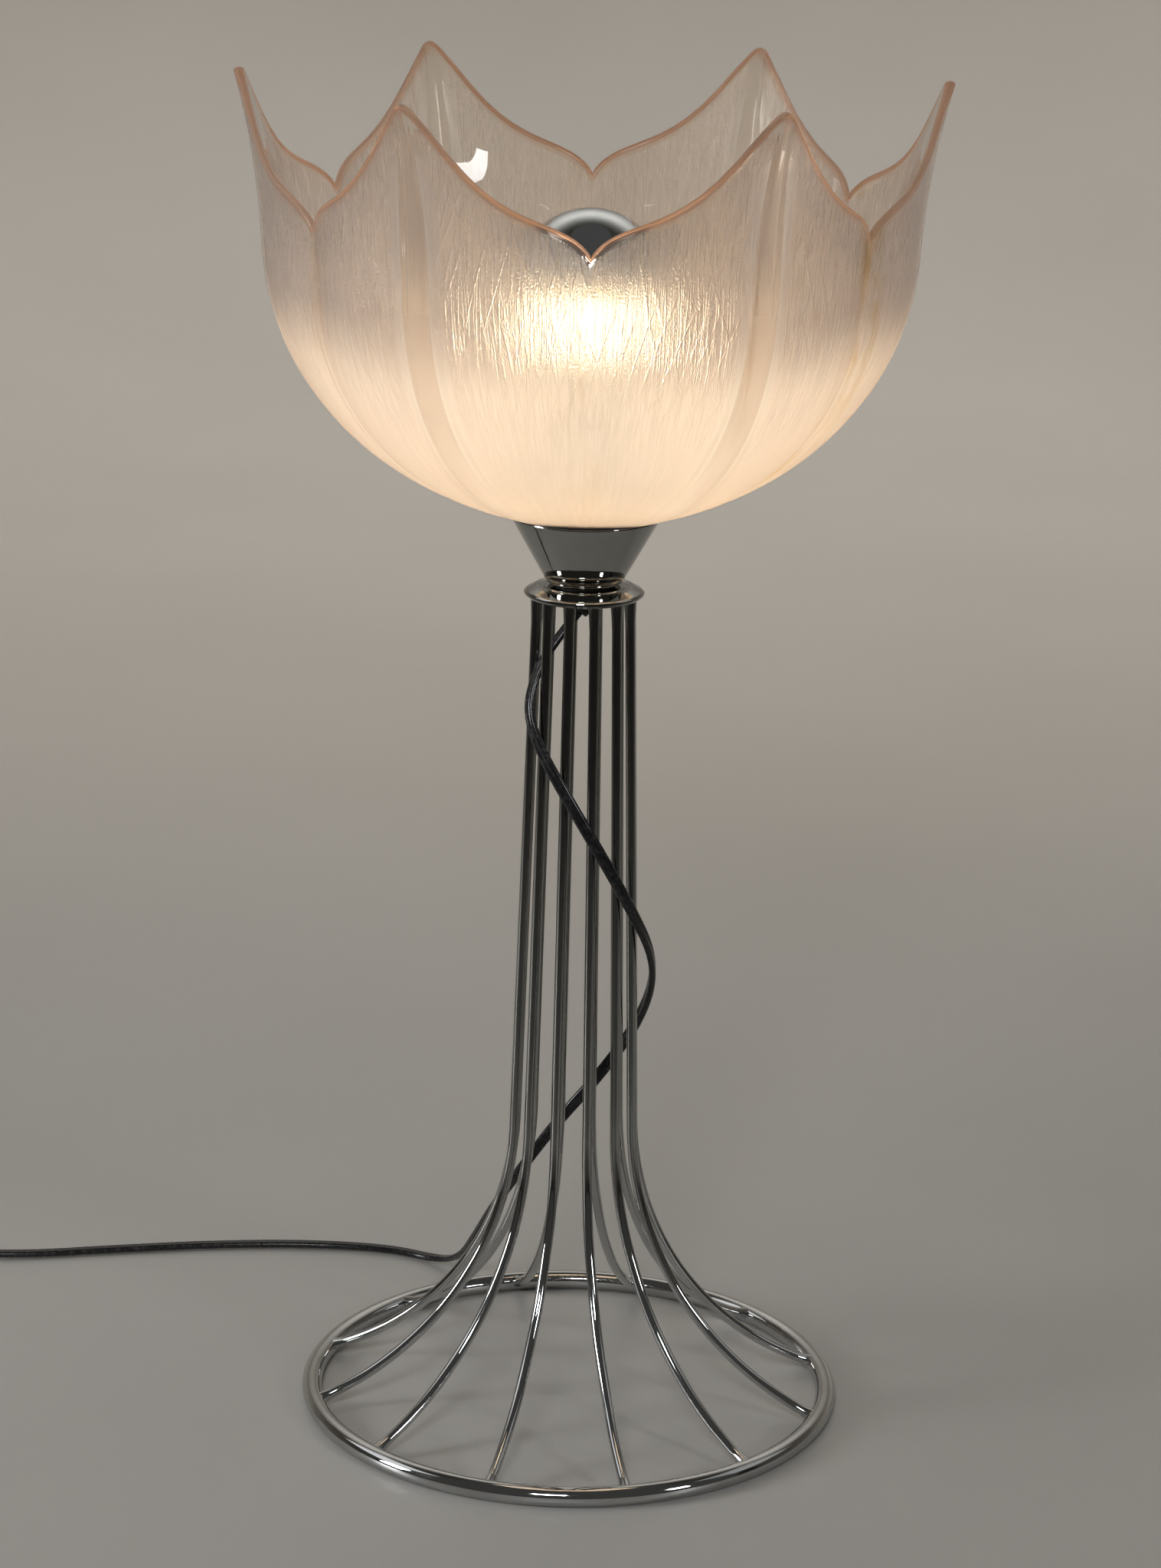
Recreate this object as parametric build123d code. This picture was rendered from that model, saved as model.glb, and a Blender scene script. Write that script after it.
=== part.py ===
from build123d import *
import os
from math import asin, cos, degrees, exp, pi, radians, sin, sqrt, tan

# A table lamp: a pressed-glass bowl of six petals on a flared column of twelve chrome wires,
# with a crown-silvered bulb, and a flat flex that winds once round the column.
# Millimetres and degrees. The floor is Z 0, the lamp's axis is Z and its front faces -Y.

# Base ring
RING_DIAMETER = 220.0
RING_BAR = 8.0
FOOT_FLAT = 0.3

# Wire column
ROD_COUNT = 12
ROD_DIAMETER = 4.0
ROD_TURN = -17.0
ROD_TOP_RADIUS = 18.8
FLARE_RADIUS = 24.6
FLARE_HEIGHT = 118.0

# Collar disc that caps the column, and the stack that is clamped on it
DISC_HEIGHT = 337.6
DISC_DIAMETER = 47.0
DISC_THICKNESS = 4.7
DISC_EDGE_FILLET = 1.9
DISC_GROOVE_DIAMETER = 35.8
DISC_GROOVE_WIDTH = 2.0
DISC_GROOVE_DEPTH = 0.7
WASHER_DIAMETER = 23.0
WASHER_THICKNESS = 1.0

# Threaded hollow stem and its nuts
STEM_DIAMETER = 10.0
STEM_BORE = 7.0
STEM_BELOW_NUT = 0.6
STEM_ABOVE_NUT = 5.5
STEM_CLEARANCE = 0.1
NUT_ACROSS_FLATS = 14.0
NUT_THICKNESS = 3.0

# Chrome cup that carries the glass
CUP_FOOT_DIAMETER = 27.0
CUP_WAIST_DIAMETER = 33.4
CUP_WAIST_RISE = 3.5
CUP_TOP_DIAMETER = 58.6
CUP_HEIGHT = 26.9
CUP_WALL = 1.0

# Lampholder for a 27 mm screw cap
HOLDER_FOOT_DIAMETER = 18.0
HOLDER_DIAMETER = 41.0
HOLDER_DOME_HEIGHT = 15.2
HOLDER_WALL = 2.0
SLEEVE_DIAMETER = 39.2
SLEEVE_HEIGHT = 33.0
SLEEVE_WALL = 2.2
MOUTH_DIAMETER = 35.0
MOUTH_HEIGHT = 12.3
PUCK_FLANGE = 1.5
PUCK_HEIGHT = 17.0
PUCK_CLEARANCE = 0.1
SHELL_WALL = 0.5
SHELL_HEIGHT = 24.0
CONTACT_DIAMETER = 8.0
CONTACT_HEIGHT = 3.0
TERMINAL_DIAMETER = 5.0
TERMINAL_HEIGHT = 3.5
TERMINAL_RADIUS = 10.0
DRIVER_SLOT = 0.8

# Glass bowl
GASKET_THICKNESS = 0.8
GASKET_WIDTH = 4.6
PETALS = 6
BOWL_RADIUS = 123.5
BOWL_DEPTH = 105.0
BOWL_UNDERSIDE = 3.0
GLASS_WALL = 5.0
GLASS_FLOOR = 6.2
GLASS_HOLE_DIAMETER = 41.0
PETAL_FLARE = 11.5
FLARE_POWER = 2.5
FLARE_START = 32.0
TIP_HEIGHT = 539.5
NOTCH_DEPTH = 54.5
SHOULDER_RISE = 0.2
TIP_SPREAD = 0.37
TIP_SOFTNESS = 0.045
RIM_SHARES = [0.0, 0.03, 0.07, 0.13, 0.22, 0.34, 0.48, 0.62, 0.75, 0.86, 0.93, 0.975, 1.0]
SEAM_DEPTH = 0.06
RIB_WIDTH = 12.0
RIB_RISE = 1.2
LOWER_SECTION_COUNT = 8
UPPER_SECTION_COUNT = 4

# Shade ring that screws down on the lampholder
RING_NUT_DIAMETER = 56.0
RING_NUT_HEIGHT = 8.0
RING_NUT_CLEARANCE = 0.08
RING_NUT_GRIPS = 24
RING_NUT_GRIP_DEPTH = 0.8
SHADE_WASHER_THICKNESS = 1.0
SHADE_WASHER_DIAMETER = 54.0

# Crown-silvered bulb, 60 mm across, with a 27 mm screw cap
BULB_DIAMETER = 60.0
BULB_WALL = 0.8
MIRROR_THICKNESS = 0.3
BULB_NECK_DIAMETER = 26.8
BULB_NECK_HEIGHT = 49.4
BULB_TANGENT = 48.0
CAP_DIAMETER = 26.3
CAP_HEIGHT = 21.0
CAP_CLEARANCE = 0.08
CAP_WALL = 0.5
CAP_SHOULDER_SHARE = 0.8
BULB_PIP_DIAMETER = 9.0
BULB_PIP_HEIGHT = 1.8
BULB_CONE_HEIGHT = 4.0
BULB_CONE_SHARE = 0.78
BULB_CONE_LEDGE = 1.0
BULB_CONTACT_GAP = 0.3
BULB_STEM_DIAMETER = 6.0
BULB_FLARE_CLEARANCE = 0.05
BULB_FLARE_THICKNESS = 1.0
BULB_FLARE_HEIGHT = 5.0
BULB_PINCH_HEIGHT = 12.0
BULB_STEM_HEIGHT = 41.0
FILAMENT_RADIUS = 12.0
FILAMENT_WIRE = 0.9
FILAMENT_OPENING = 120.0
FILAMENT_RISE = 6.0

# Flat two-core flex, drawn round at its width
CORD_WIDTH = 4.8
CORNER_SHARE = 0.45
EXIT_DROP = 2.4
EXIT_LEAN = 38.0
GROMMET_TOP_DIAMETER = 9.0
GROMMET_END_DIAMETER = 6.6

# Cord switch
SWITCH_LENGTH = 58.0
SWITCH_WIDTH = 18.0
SWITCH_HEIGHT = 14.0
SWITCH_WALL = 1.6
SWITCH_FILLET = 3.0
SWITCH_FRONT = -300.0
SWITCH_SIDE = 123.0
SWITCH_ENTRY = 7.0
SWITCH_LEAD_IN = 18.0
SWITCH_LEAD_OUT = 9.0
SWITCH_JOINT_HEIGHT = 7.5
ROCKER_REACH = 13.0
ROCKER_WIDTH = 9.0
ROCKER_PROUD = 1.0
ROCKER_DISH = 1.2
ROCKER_HEIGHT = 7.0
ROCKER_TILT = 8.0
ROCKER_GAP = 0.5
ROCKER_PIN_DIAMETER = 2.0
ROCKER_PIN_CLEARANCE = 0.06
SWITCH_SCREW_DIAMETER = 3.0
SWITCH_SCREW_HEAD = 5.0
SWITCH_SCREW_SPACING = 50.0
SWITCH_SCREW_OFFSET = 5.0

# Coil of put-away flex
COIL_RADIUS = 36.0
COIL_HALF_TURNS = 6
COIL_GAP = 0.6
COIL_LAYER_GAP = 0.5
COIL_LEFT = -389.0
COIL_SIDE = 38.0
COIL_APPROACH = 59.0
COIL_RUN_IN = 30.0
COIL_RUN_OUT = 13.0
PLUG_APPROACH = 27.0

# Two-pin plug
PLUG_LENGTH = 36.0
PLUG_FRONT_WIDTH = 35.0
PLUG_FRONT_HEIGHT = 13.7
PLUG_BACK_WIDTH = 15.0
PLUG_BACK_HEIGHT = 12.0
PLUG_CORNER = 4.0
PLUG_FRONT = -61.0
PLUG_SIDE = -396.0
PLUG_AXIS_HEIGHT = 7.0
PIN_DIAMETER = 4.0
PIN_LENGTH = 19.0
PIN_SPACING = 18.6
RELIEF_LENGTH = 22.0
RELIEF_BACK_DIAMETER = 7.4
RELIEF_FRONT_DIAMETER = 10.5

# Heights that follow from the stack
disc_top = DISC_HEIGHT + DISC_THICKNESS
cup_bottom = disc_top + WASHER_THICKNESS
cup_top = cup_bottom + CUP_HEIGHT
holder_bottom = cup_bottom + CUP_WALL + NUT_THICKNESS
holder_rim = holder_bottom + HOLDER_DOME_HEIGHT
sleeve_bottom = holder_rim + PUCK_FLANGE
sleeve_top = sleeve_bottom + SLEEVE_HEIGHT
mouth_top = sleeve_top + MOUTH_HEIGHT
puck_top = holder_rim + PUCK_HEIGHT
contact_top = puck_top + CONTACT_HEIGHT
glass_bottom = cup_top + GASKET_THICKNESS
glass_floor = glass_bottom + GLASS_FLOOR
bowl_centre = glass_bottom - BOWL_UNDERSIDE + BOWL_DEPTH
bulb_foot = contact_top + BULB_CONTACT_GAP
cap_bottom = bulb_foot + BULB_PIP_HEIGHT + BULB_CONE_HEIGHT
cap_top = cap_bottom + CAP_HEIGHT
bulb_centre = cap_top + BULB_NECK_HEIGHT
layer_rise = CORD_WIDTH + COIL_LAYER_GAP
floor_line = CORD_WIDTH / 2
exit_height = DISC_HEIGHT - NUT_THICKNESS - STEM_BELOW_NUT - EXIT_DROP
exit_offset = EXIT_DROP * tan(radians(EXIT_LEAN))


def revolve_profile(points):
    """A solid turned round the Z axis from a closed outline of (radius, height) points."""
    return revolve(Plane.XZ * make_face(Polyline(*points, close=True)), Axis.Z)


def washer(outer, inner, thickness, height):
    """A flat ring, with its underside at the given height."""
    ring = Cylinder(outer / 2, thickness) - Cylinder(inner / 2, thickness * 2)
    return Pos(0, 0, height + thickness / 2) * ring


def hex_nut(height):
    """A plain hexagon nut on the threaded stem."""
    outline = RegularPolygon(NUT_ACROSS_FLATS / 2, 6, major_radius=False)
    body = extrude(outline, NUT_THICKNESS)
    hole = Cylinder(STEM_DIAMETER / 2 + STEM_CLEARANCE, NUT_THICKNESS * 3)
    return Pos(0, 0, height) * (body - hole)


# Base ring and column

def ring_torus():
    """The base ring's bar before its foot is ground flat."""
    height = RING_BAR / 2 - FOOT_FLAT
    return Pos(0, 0, height) * Torus((RING_DIAMETER - RING_BAR) / 2, RING_BAR / 2)


def base_ring():
    below = Pos(0, 0, -RING_BAR) * Box(RING_DIAMETER * 2, RING_DIAMETER * 2, RING_BAR * 2)
    return ring_torus() - below


def rod(angle, ring):
    """One wire: straight under the disc, then one arc out to the ring, and cut to fit its bar."""
    ring_centre = (RING_DIAMETER - RING_BAR) / 2
    top = Vector(ROD_TOP_RADIUS, 0, DISC_HEIGHT)
    bend = Vector(FLARE_RADIUS, 0, FLARE_HEIGHT)
    end = Vector(ring_centre, 0, RING_BAR / 2 - FOOT_FLAT)
    straight = Line(top, bend)
    flare = TangentArc(bend, end, tangent=bend - top)
    start = Plane(top, z_dir=bend - top)
    wire = sweep(start * Circle(ROD_DIAMETER / 2), path=Wire([straight.edge(), flare.edge()]))
    above = Pos(0, 0, DISC_HEIGHT + RING_BAR) * Box(RING_DIAMETER, RING_DIAMETER, RING_BAR * 2)
    placed = Rot(0, 0, angle - 90) * (wire - above)
    return placed - ring


def collar_disc():
    """The chrome disc that the wires are welded under: a rounded rim, and a groove round the cup's foot."""
    disc = Cylinder(DISC_DIAMETER / 2, DISC_THICKNESS)
    disc = fillet(disc.edges().filter_by(GeomType.CIRCLE), DISC_EDGE_FILLET)
    disc = Pos(0, 0, DISC_HEIGHT + DISC_THICKNESS / 2) * disc
    groove_inner = DISC_GROOVE_DIAMETER - 2 * DISC_GROOVE_WIDTH
    disc -= washer(DISC_GROOVE_DIAMETER, groove_inner, 2 * DISC_GROOVE_DEPTH, disc_top - DISC_GROOVE_DEPTH)
    return disc - Cylinder(STEM_DIAMETER / 2 + STEM_CLEARANCE, disc_top * 3)


def cup_washer():
    return washer(WASHER_DIAMETER, STEM_DIAMETER + 2 * STEM_CLEARANCE, WASHER_THICKNESS, disc_top)


def shade_cup():
    """The spun cup: a rounded foot, a waist, and a straight taper out to the rim."""
    foot = CUP_FOOT_DIAMETER / 2
    waist = CUP_WAIST_DIAMETER / 2
    rim = CUP_TOP_DIAMETER / 2
    waist_height = cup_bottom + CUP_WAIST_RISE
    taper = Vector(rim - waist, 0, cup_top - waist_height)
    outer = [
        Line((0, 0, cup_bottom), (foot, 0, cup_bottom)),
        TangentArc((waist, 0, waist_height), (foot, 0, cup_bottom), tangent=-taper),
        Line((waist, 0, waist_height), (rim, 0, cup_top)),
        Line((rim, 0, cup_top), (0, 0, cup_top)),
        Line((0, 0, cup_top), (0, 0, cup_bottom)),
    ]
    solid = revolve(make_face(Wire([line.edge() for line in outer])), Axis.Z)
    inner_rim = rim - CUP_WALL
    inner_foot = foot - CUP_WALL
    inner_waist = waist - CUP_WALL
    hollow = revolve_profile([
        (0, cup_bottom + CUP_WALL),
        (inner_foot, cup_bottom + CUP_WALL),
        (inner_waist, waist_height + CUP_WALL / 2),
        (inner_rim, cup_top),
        (inner_rim, cup_top + CUP_WALL),
        (0, cup_top + CUP_WALL),
    ])
    return solid - hollow - Cylinder(STEM_DIAMETER / 2 + STEM_CLEARANCE, cup_top * 3)


def threaded_stem():
    bottom = DISC_HEIGHT - NUT_THICKNESS - STEM_BELOW_NUT
    height = holder_bottom + STEM_ABOVE_NUT - bottom
    tube = Cylinder(STEM_DIAMETER / 2, height) - Cylinder(STEM_BORE / 2, height * 2)
    return Pos(0, 0, bottom + height / 2) * tube


def cord_grommet():
    """A short sleeve under the stem that turns the flex outwards, between the wires."""
    bottom = DISC_HEIGHT - NUT_THICKNESS - STEM_BELOW_NUT
    top_ring = Plane((0, 0, bottom), z_dir=(0, 0, -1)) * Circle(GROMMET_TOP_DIAMETER / 2)
    end_ring = exit_plane() * Circle(GROMMET_END_DIAMETER / 2)
    return loft([top_ring, end_ring])


def exit_plane():
    """The end face of the grommet, square to the flex where it leaves."""
    start = Vector(*LEAD_POINTS[0])
    return Plane(start, z_dir=Vector(*LEAD_POINTS[1]) - start)


# Lampholder

def holder_cap():
    """The domed lower half of the lampholder, which screws on the stem."""
    foot = HOLDER_FOOT_DIAMETER / 2
    rim = HOLDER_DIAMETER / 2

    def dome(inset, floor):
        outline = [
            Line((0, 0, floor), (foot - inset / 2, 0, floor)),
            TangentArc((rim - inset, 0, holder_rim), (foot - inset / 2, 0, floor), tangent=(0, 0, -1)),
            Line((rim - inset, 0, holder_rim), (0, 0, holder_rim)),
            Line((0, 0, holder_rim), (0, 0, floor)),
        ]
        return revolve(make_face(Wire([line.edge() for line in outline])), Axis.Z)

    bore = Cylinder(STEM_DIAMETER / 2 + STEM_CLEARANCE, mouth_top * 3)
    return dome(0, holder_bottom) - dome(HOLDER_WALL, holder_bottom + HOLDER_WALL) - bore


def holder_sleeve():
    """The upper half: a long threaded sleeve, then a narrower mouth round the bulb's cap."""
    outer = SLEEVE_DIAMETER / 2
    mouth = MOUTH_DIAMETER / 2
    lip = mouth - SLEEVE_WALL
    inner = outer - SLEEVE_WALL
    return revolve_profile([
        (outer, sleeve_bottom),
        (outer, sleeve_top),
        (mouth, sleeve_top + outer - mouth),
        (mouth, mouth_top),
        (lip, mouth_top),
        (lip, sleeve_top),
        (inner, sleeve_top - inner + lip),
        (inner, sleeve_bottom),
    ])


def holder_insulator():
    """The porcelain puck, held by its flange between the two halves of the lampholder."""
    body_radius = SLEEVE_DIAMETER / 2 - SLEEVE_WALL - PUCK_CLEARANCE
    body = Pos(0, 0, holder_rim + PUCK_HEIGHT / 2) * Cylinder(body_radius, PUCK_HEIGHT)
    flange = Pos(0, 0, holder_rim + PUCK_FLANGE / 2) * Cylinder(SLEEVE_DIAMETER / 2, PUCK_FLANGE)
    return body + flange


def screw_shell():
    """The brass shell that the bulb's cap turns in."""
    inner = CAP_DIAMETER / 2 + CAP_CLEARANCE
    outer = inner + SHELL_WALL
    return washer(outer * 2, inner * 2, SHELL_HEIGHT, puck_top)


def centre_contact():
    return Pos(0, 0, puck_top + CONTACT_HEIGHT / 2) * Cylinder(CONTACT_DIAMETER / 2, CONTACT_HEIGHT)


def terminal_screws():
    """Two brass screws under the puck, where the cores of the flex end."""
    screw = Cylinder(TERMINAL_DIAMETER / 2, TERMINAL_HEIGHT)
    slot = Pos(0, 0, -TERMINAL_HEIGHT / 2) * Box(TERMINAL_DIAMETER * 2, DRIVER_SLOT, DRIVER_SLOT * 1.5)
    height = holder_rim - TERMINAL_HEIGHT / 2
    return [Pos(side * TERMINAL_RADIUS, 0, height) * (screw - slot) for side in (-1, 1)]


# Glass bowl

def bowl_radius(height, wall=0.0):
    """The bowl's radius at a height: a half ellipse below, and a growing flare above it."""
    drop = min(max((bowl_centre - height) / (BOWL_DEPTH - wall), 0.0), 1.0)
    base = (BOWL_RADIUS - wall) * sqrt(1.0 - drop * drop)
    flare_from = bowl_centre - FLARE_START
    climb = max(height - flare_from, 0.0) / (TIP_HEIGHT - flare_from)
    return base + PETAL_FLARE * climb ** FLARE_POWER


def seam_share(height):
    """How far the seams between petals lie inside the petals' middles, as a share of the radius."""
    return SEAM_DEPTH * (0.35 + 0.65 * min(1.0, (height - glass_bottom) / (bowl_centre - glass_bottom)))


def petal_point(height, middle, offset, wall=0.0, rise=0.0):
    """A point of the bowl at an angle from its petal's middle line."""
    share = abs(offset) / (180.0 / PETALS)
    radius = bowl_radius(height, wall) * (1.0 - seam_share(height) * share ** 2) + rise
    angle = radians(middle + offset)
    return Vector(radius * sin(angle), -radius * cos(angle), height)


def petal_middles():
    half = 180.0 / PETALS
    return [half + half * 2 * k for k in range(PETALS)]


def outer_section(height):
    """A level outline of the bowl's outside: two flat lobes and a raised rib for each petal."""
    half = 180.0 / PETALS
    rib = min(degrees(asin(min(0.9, RIB_WIDTH / 2 / bowl_radius(height)))), half * 0.45)
    edges = []
    for middle in petal_middles():
        at = [petal_point(height, middle, offset) for offset in (-half, -(half + rib) / 2, -rib)]
        to = [petal_point(height, middle, offset) for offset in (rib, (half + rib) / 2, half)]
        crest = petal_point(height, middle, 0.0, rise=RIB_RISE)
        edges.append(ThreePointArc(*at).edge())
        edges.append(ThreePointArc(at[2], crest, to[0]).edge())
        edges.append(ThreePointArc(*to).edge())
    return Wire(edges)


def inner_section(height):
    """A level outline of the bowl's inside, with the same lobes and no ribs."""
    half = 180.0 / PETALS
    edges = []
    for middle in petal_middles():
        points = [petal_point(height, middle, offset, wall=GLASS_WALL) for offset in (-half, 0.0, half)]
        edges.append(ThreePointArc(*points).edge())
    return Wire(edges)


def section_heights(lowest, depth, count):
    """Heights spaced evenly by angle round the lower half ellipse, then evenly up past the tips."""
    start = asin(sqrt(max(0.0, 1.0 - ((bowl_centre - lowest) / depth) ** 2)))
    heights = [bowl_centre - depth * cos(start + (pi / 2 - start) * k / count) for k in range(count)]
    above = TIP_HEIGHT + GLASS_WALL - bowl_centre
    return heights + [bowl_centre + above * k / UPPER_SECTION_COUNT for k in range(UPPER_SECTION_COUNT + 1)]


def rim_height(share):
    """The rim's height at a share of the way from a petal's tip (0) to its notch (1)."""
    rounded = sqrt(share ** 2 + TIP_SOFTNESS ** 2)
    spike = exp(-((rounded / TIP_SPREAD) ** 1.3) + (TIP_SOFTNESS / TIP_SPREAD) ** 1.3)
    shoulder = (1.0 - share ** 9) ** 0.8
    return TIP_HEIGHT - NOTCH_DEPTH * (1.0 - (SHOULDER_RISE + (1.0 - SHOULDER_RISE) * spike) * shoulder)


def rim_cutter():
    """What is cut away above one petal, as a prism along the petal's own direction."""
    half_width = bowl_radius(TIP_HEIGHT - NOTCH_DEPTH) * (1.0 - SEAM_DEPTH) * sin(pi / PETALS)
    right = [Vector(share * half_width, rim_height(share)) for share in RIM_SHARES]
    left = [Vector(-point.X, point.Y) for point in reversed(right[1:])]
    top = TIP_HEIGHT + 4 * GLASS_WALL
    reach = half_width * 1.3
    low = right[-1].Y
    edges = [
        Spline(*left, *right, tangents=[(0.15, 1), (0.15, -1)]).edge(),
        Line(right[-1], (reach, low)).edge(),
        Line((reach, low), (reach, top)).edge(),
        Line((reach, top), (-reach, top)).edge(),
        Line((-reach, top), (-reach, low)).edge(),
        Line((-reach, low), left[0]).edge(),
    ]
    outline = Plane.XZ * make_face(Wire(edges))
    prism = extrude(outline, BOWL_RADIUS * 1.3)
    wedge_reach = BOWL_RADIUS * 2
    side = wedge_reach * tan(pi / PETALS)
    wedge = extrude(make_face(Polyline((0, 0), (-side, -wedge_reach), (side, -wedge_reach), close=True)), top)
    return prism & wedge


def glass_shade():
    """Six petals in one pressed-glass bowl: ribbed outside, smooth inside, scalloped at the rim."""
    outer_heights = section_heights(glass_bottom - GASKET_THICKNESS, BOWL_DEPTH, LOWER_SECTION_COUNT)
    inner_heights = section_heights(glass_floor, BOWL_DEPTH - GLASS_WALL, LOWER_SECTION_COUNT)
    outer = loft([make_face(outer_section(height)) for height in outer_heights])
    inner = loft([make_face(inner_section(height)) for height in inner_heights])
    below = Pos(0, 0, glass_bottom - BOWL_DEPTH / 2) * Box(4 * BOWL_RADIUS, 4 * BOWL_RADIUS, BOWL_DEPTH)
    bowl = outer - inner - below - Cylinder(GLASS_HOLE_DIAMETER / 2, TIP_HEIGHT * 3)
    cutter = rim_cutter()
    for middle in petal_middles():
        bowl -= Rot(0, 0, middle) * cutter
    return bowl


def shade_gasket():
    outer = CUP_TOP_DIAMETER - CUP_WALL / 2
    return washer(outer, outer - 2 * GASKET_WIDTH, GASKET_THICKNESS, cup_top)


def shade_washer():
    return washer(SHADE_WASHER_DIAMETER, GLASS_HOLE_DIAMETER, SHADE_WASHER_THICKNESS, glass_floor)


def shade_ring():
    """The bakelite ring nut that holds the glass down, with grips round its rim."""
    height = glass_floor + SHADE_WASHER_THICKNESS
    ring = washer(RING_NUT_DIAMETER, SLEEVE_DIAMETER + 2 * RING_NUT_CLEARANCE, RING_NUT_HEIGHT, height)
    grip = Cylinder(RING_NUT_GRIP_DEPTH, RING_NUT_HEIGHT * 3)
    for place in PolarLocations(RING_NUT_DIAMETER / 2, RING_NUT_GRIPS):
        ring -= Pos(0, 0, height) * place * grip
    return ring


# Bulb

def bulb_neck_line(inset):
    """The neck's outline, from the cap up to where it meets the round part in a smooth line."""
    radius = BULB_DIAMETER / 2 - inset
    angle = radians(BULB_TANGENT)
    meet = (radius * cos(angle), 0, bulb_centre - radius * sin(angle))
    foot = (BULB_NECK_DIAMETER / 2 - inset, 0, cap_top)
    return Spline(foot, meet, tangents=[(0.02, 0, 1), (sin(angle), 0, cos(angle))])


def bulb_body(inset, crown_inset):
    """The envelope's shape, less an inset below and another above the widest line."""
    neck = bulb_neck_line(inset)
    radius = BULB_DIAMETER / 2 - inset
    crown = BULB_DIAMETER / 2 - crown_inset
    middle = radians(BULB_TANGENT) / 2
    foot = neck @ 0
    lower = ThreePointArc(
        neck @ 1, (radius * cos(middle), 0, bulb_centre - radius * sin(middle)), (radius, 0, bulb_centre))
    top = (0, 0, bulb_centre + crown)
    bow = (crown * cos(pi / 4), 0, bulb_centre + crown * sin(pi / 4))
    upper = ThreePointArc((crown, 0, bulb_centre), bow, top)
    edges = [neck.edge(), lower.edge()]
    if crown_inset != inset:
        edges.append(Line((radius, 0, bulb_centre), (crown, 0, bulb_centre)).edge())
    edges += [upper.edge(), Line(top, (0, 0, cap_top)).edge(), Line((0, 0, cap_top), foot).edge()]
    return revolve(make_face(Wire(edges)), Axis.Z)


def bulb_envelope():
    """The thin glass of the bulb, open at its neck, where the stem closes it."""
    return bulb_body(0, MIRROR_THICKNESS) - bulb_body(BULB_WALL, BULB_WALL)


def bulb_mirror():
    """The silvered crown over the upper half of the bulb."""
    outer = Sphere(BULB_DIAMETER / 2) - Sphere(BULB_DIAMETER / 2 - MIRROR_THICKNESS)
    lower = Pos(0, 0, -BULB_DIAMETER / 2) * Box(BULB_DIAMETER * 2, BULB_DIAMETER * 2, BULB_DIAMETER)
    return Pos(0, 0, bulb_centre) * (outer - lower)


def bulb_cap():
    """The screw cap, as a thin cup over the neck's foot, with its thread left plain."""
    outer = CAP_DIAMETER / 2
    shoulder = outer * CAP_SHOULDER_SHARE
    return revolve_profile([
        (shoulder, cap_bottom),
        (outer, cap_bottom + outer - shoulder),
        (outer, cap_top),
        (outer - CAP_WALL, cap_top),
        (outer - CAP_WALL, cap_bottom + outer - shoulder + CAP_WALL),
        (shoulder - CAP_WALL, cap_bottom + CAP_WALL),
        (0, cap_bottom + CAP_WALL),
        (0, cap_bottom),
    ])


def bulb_insulator():
    """The black glass under the cap, tapered to the contact."""
    cone = Cone(BULB_PIP_DIAMETER / 2 + BULB_CONE_LEDGE, CAP_DIAMETER / 2 * BULB_CONE_SHARE, BULB_CONE_HEIGHT)
    return Pos(0, 0, cap_bottom - BULB_CONE_HEIGHT / 2) * cone


def bulb_contact():
    return Pos(0, 0, bulb_foot + BULB_PIP_HEIGHT / 2) * Cylinder(BULB_PIP_DIAMETER / 2, BULB_PIP_HEIGHT)


def bulb_stem():
    """The glass mount inside the neck: a flare that closes the bulb, and a rod up to the filament."""
    flare = BULB_NECK_DIAMETER / 2 - BULB_WALL - BULB_FLARE_CLEARANCE
    slim = BULB_STEM_DIAMETER / 2
    return revolve_profile([
        (0, cap_top),
        (flare, cap_top),
        (flare, cap_top + BULB_FLARE_THICKNESS),
        (slim * 2, cap_top + BULB_FLARE_HEIGHT),
        (slim, cap_top + BULB_PINCH_HEIGHT),
        (slim, cap_top + BULB_STEM_HEIGHT - slim),
        (slim / 2, cap_top + BULB_STEM_HEIGHT),
        (0, cap_top + BULB_STEM_HEIGHT),
    ])


def bulb_filament():
    """The coiled wire as one thin ring arc, on two leads that rise from the stem."""
    root = BULB_STEM_DIAMETER / 5
    low = cap_top + BULB_STEM_HEIGHT
    high = low + FILAMENT_RISE
    lean = FILAMENT_RADIUS * cos(radians(FILAMENT_OPENING / 2))
    reach = FILAMENT_RADIUS * sin(radians(FILAMENT_OPENING / 2))
    front = (0, -FILAMENT_RADIUS, high)
    arc = ThreePointArc((reach, lean, high), front, (-reach, lean, high))
    lead_in = Line((root, 0, low), (reach, lean, high))
    lead_out = Line((-reach, lean, high), (-root, 0, low))
    section = Circle(FILAMENT_WIRE / 2)
    solid = None
    for line in (lead_in, arc, lead_out):
        piece = sweep(Plane(line @ 0, z_dir=line % 0) * section, path=line)
        solid = piece if solid is None else solid + piece
    for corner in (arc @ 0, arc @ 1):
        solid += Pos(corner) * Sphere(FILAMENT_WIRE / 2)
    return solid - bulb_stem()


# Flex

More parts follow.
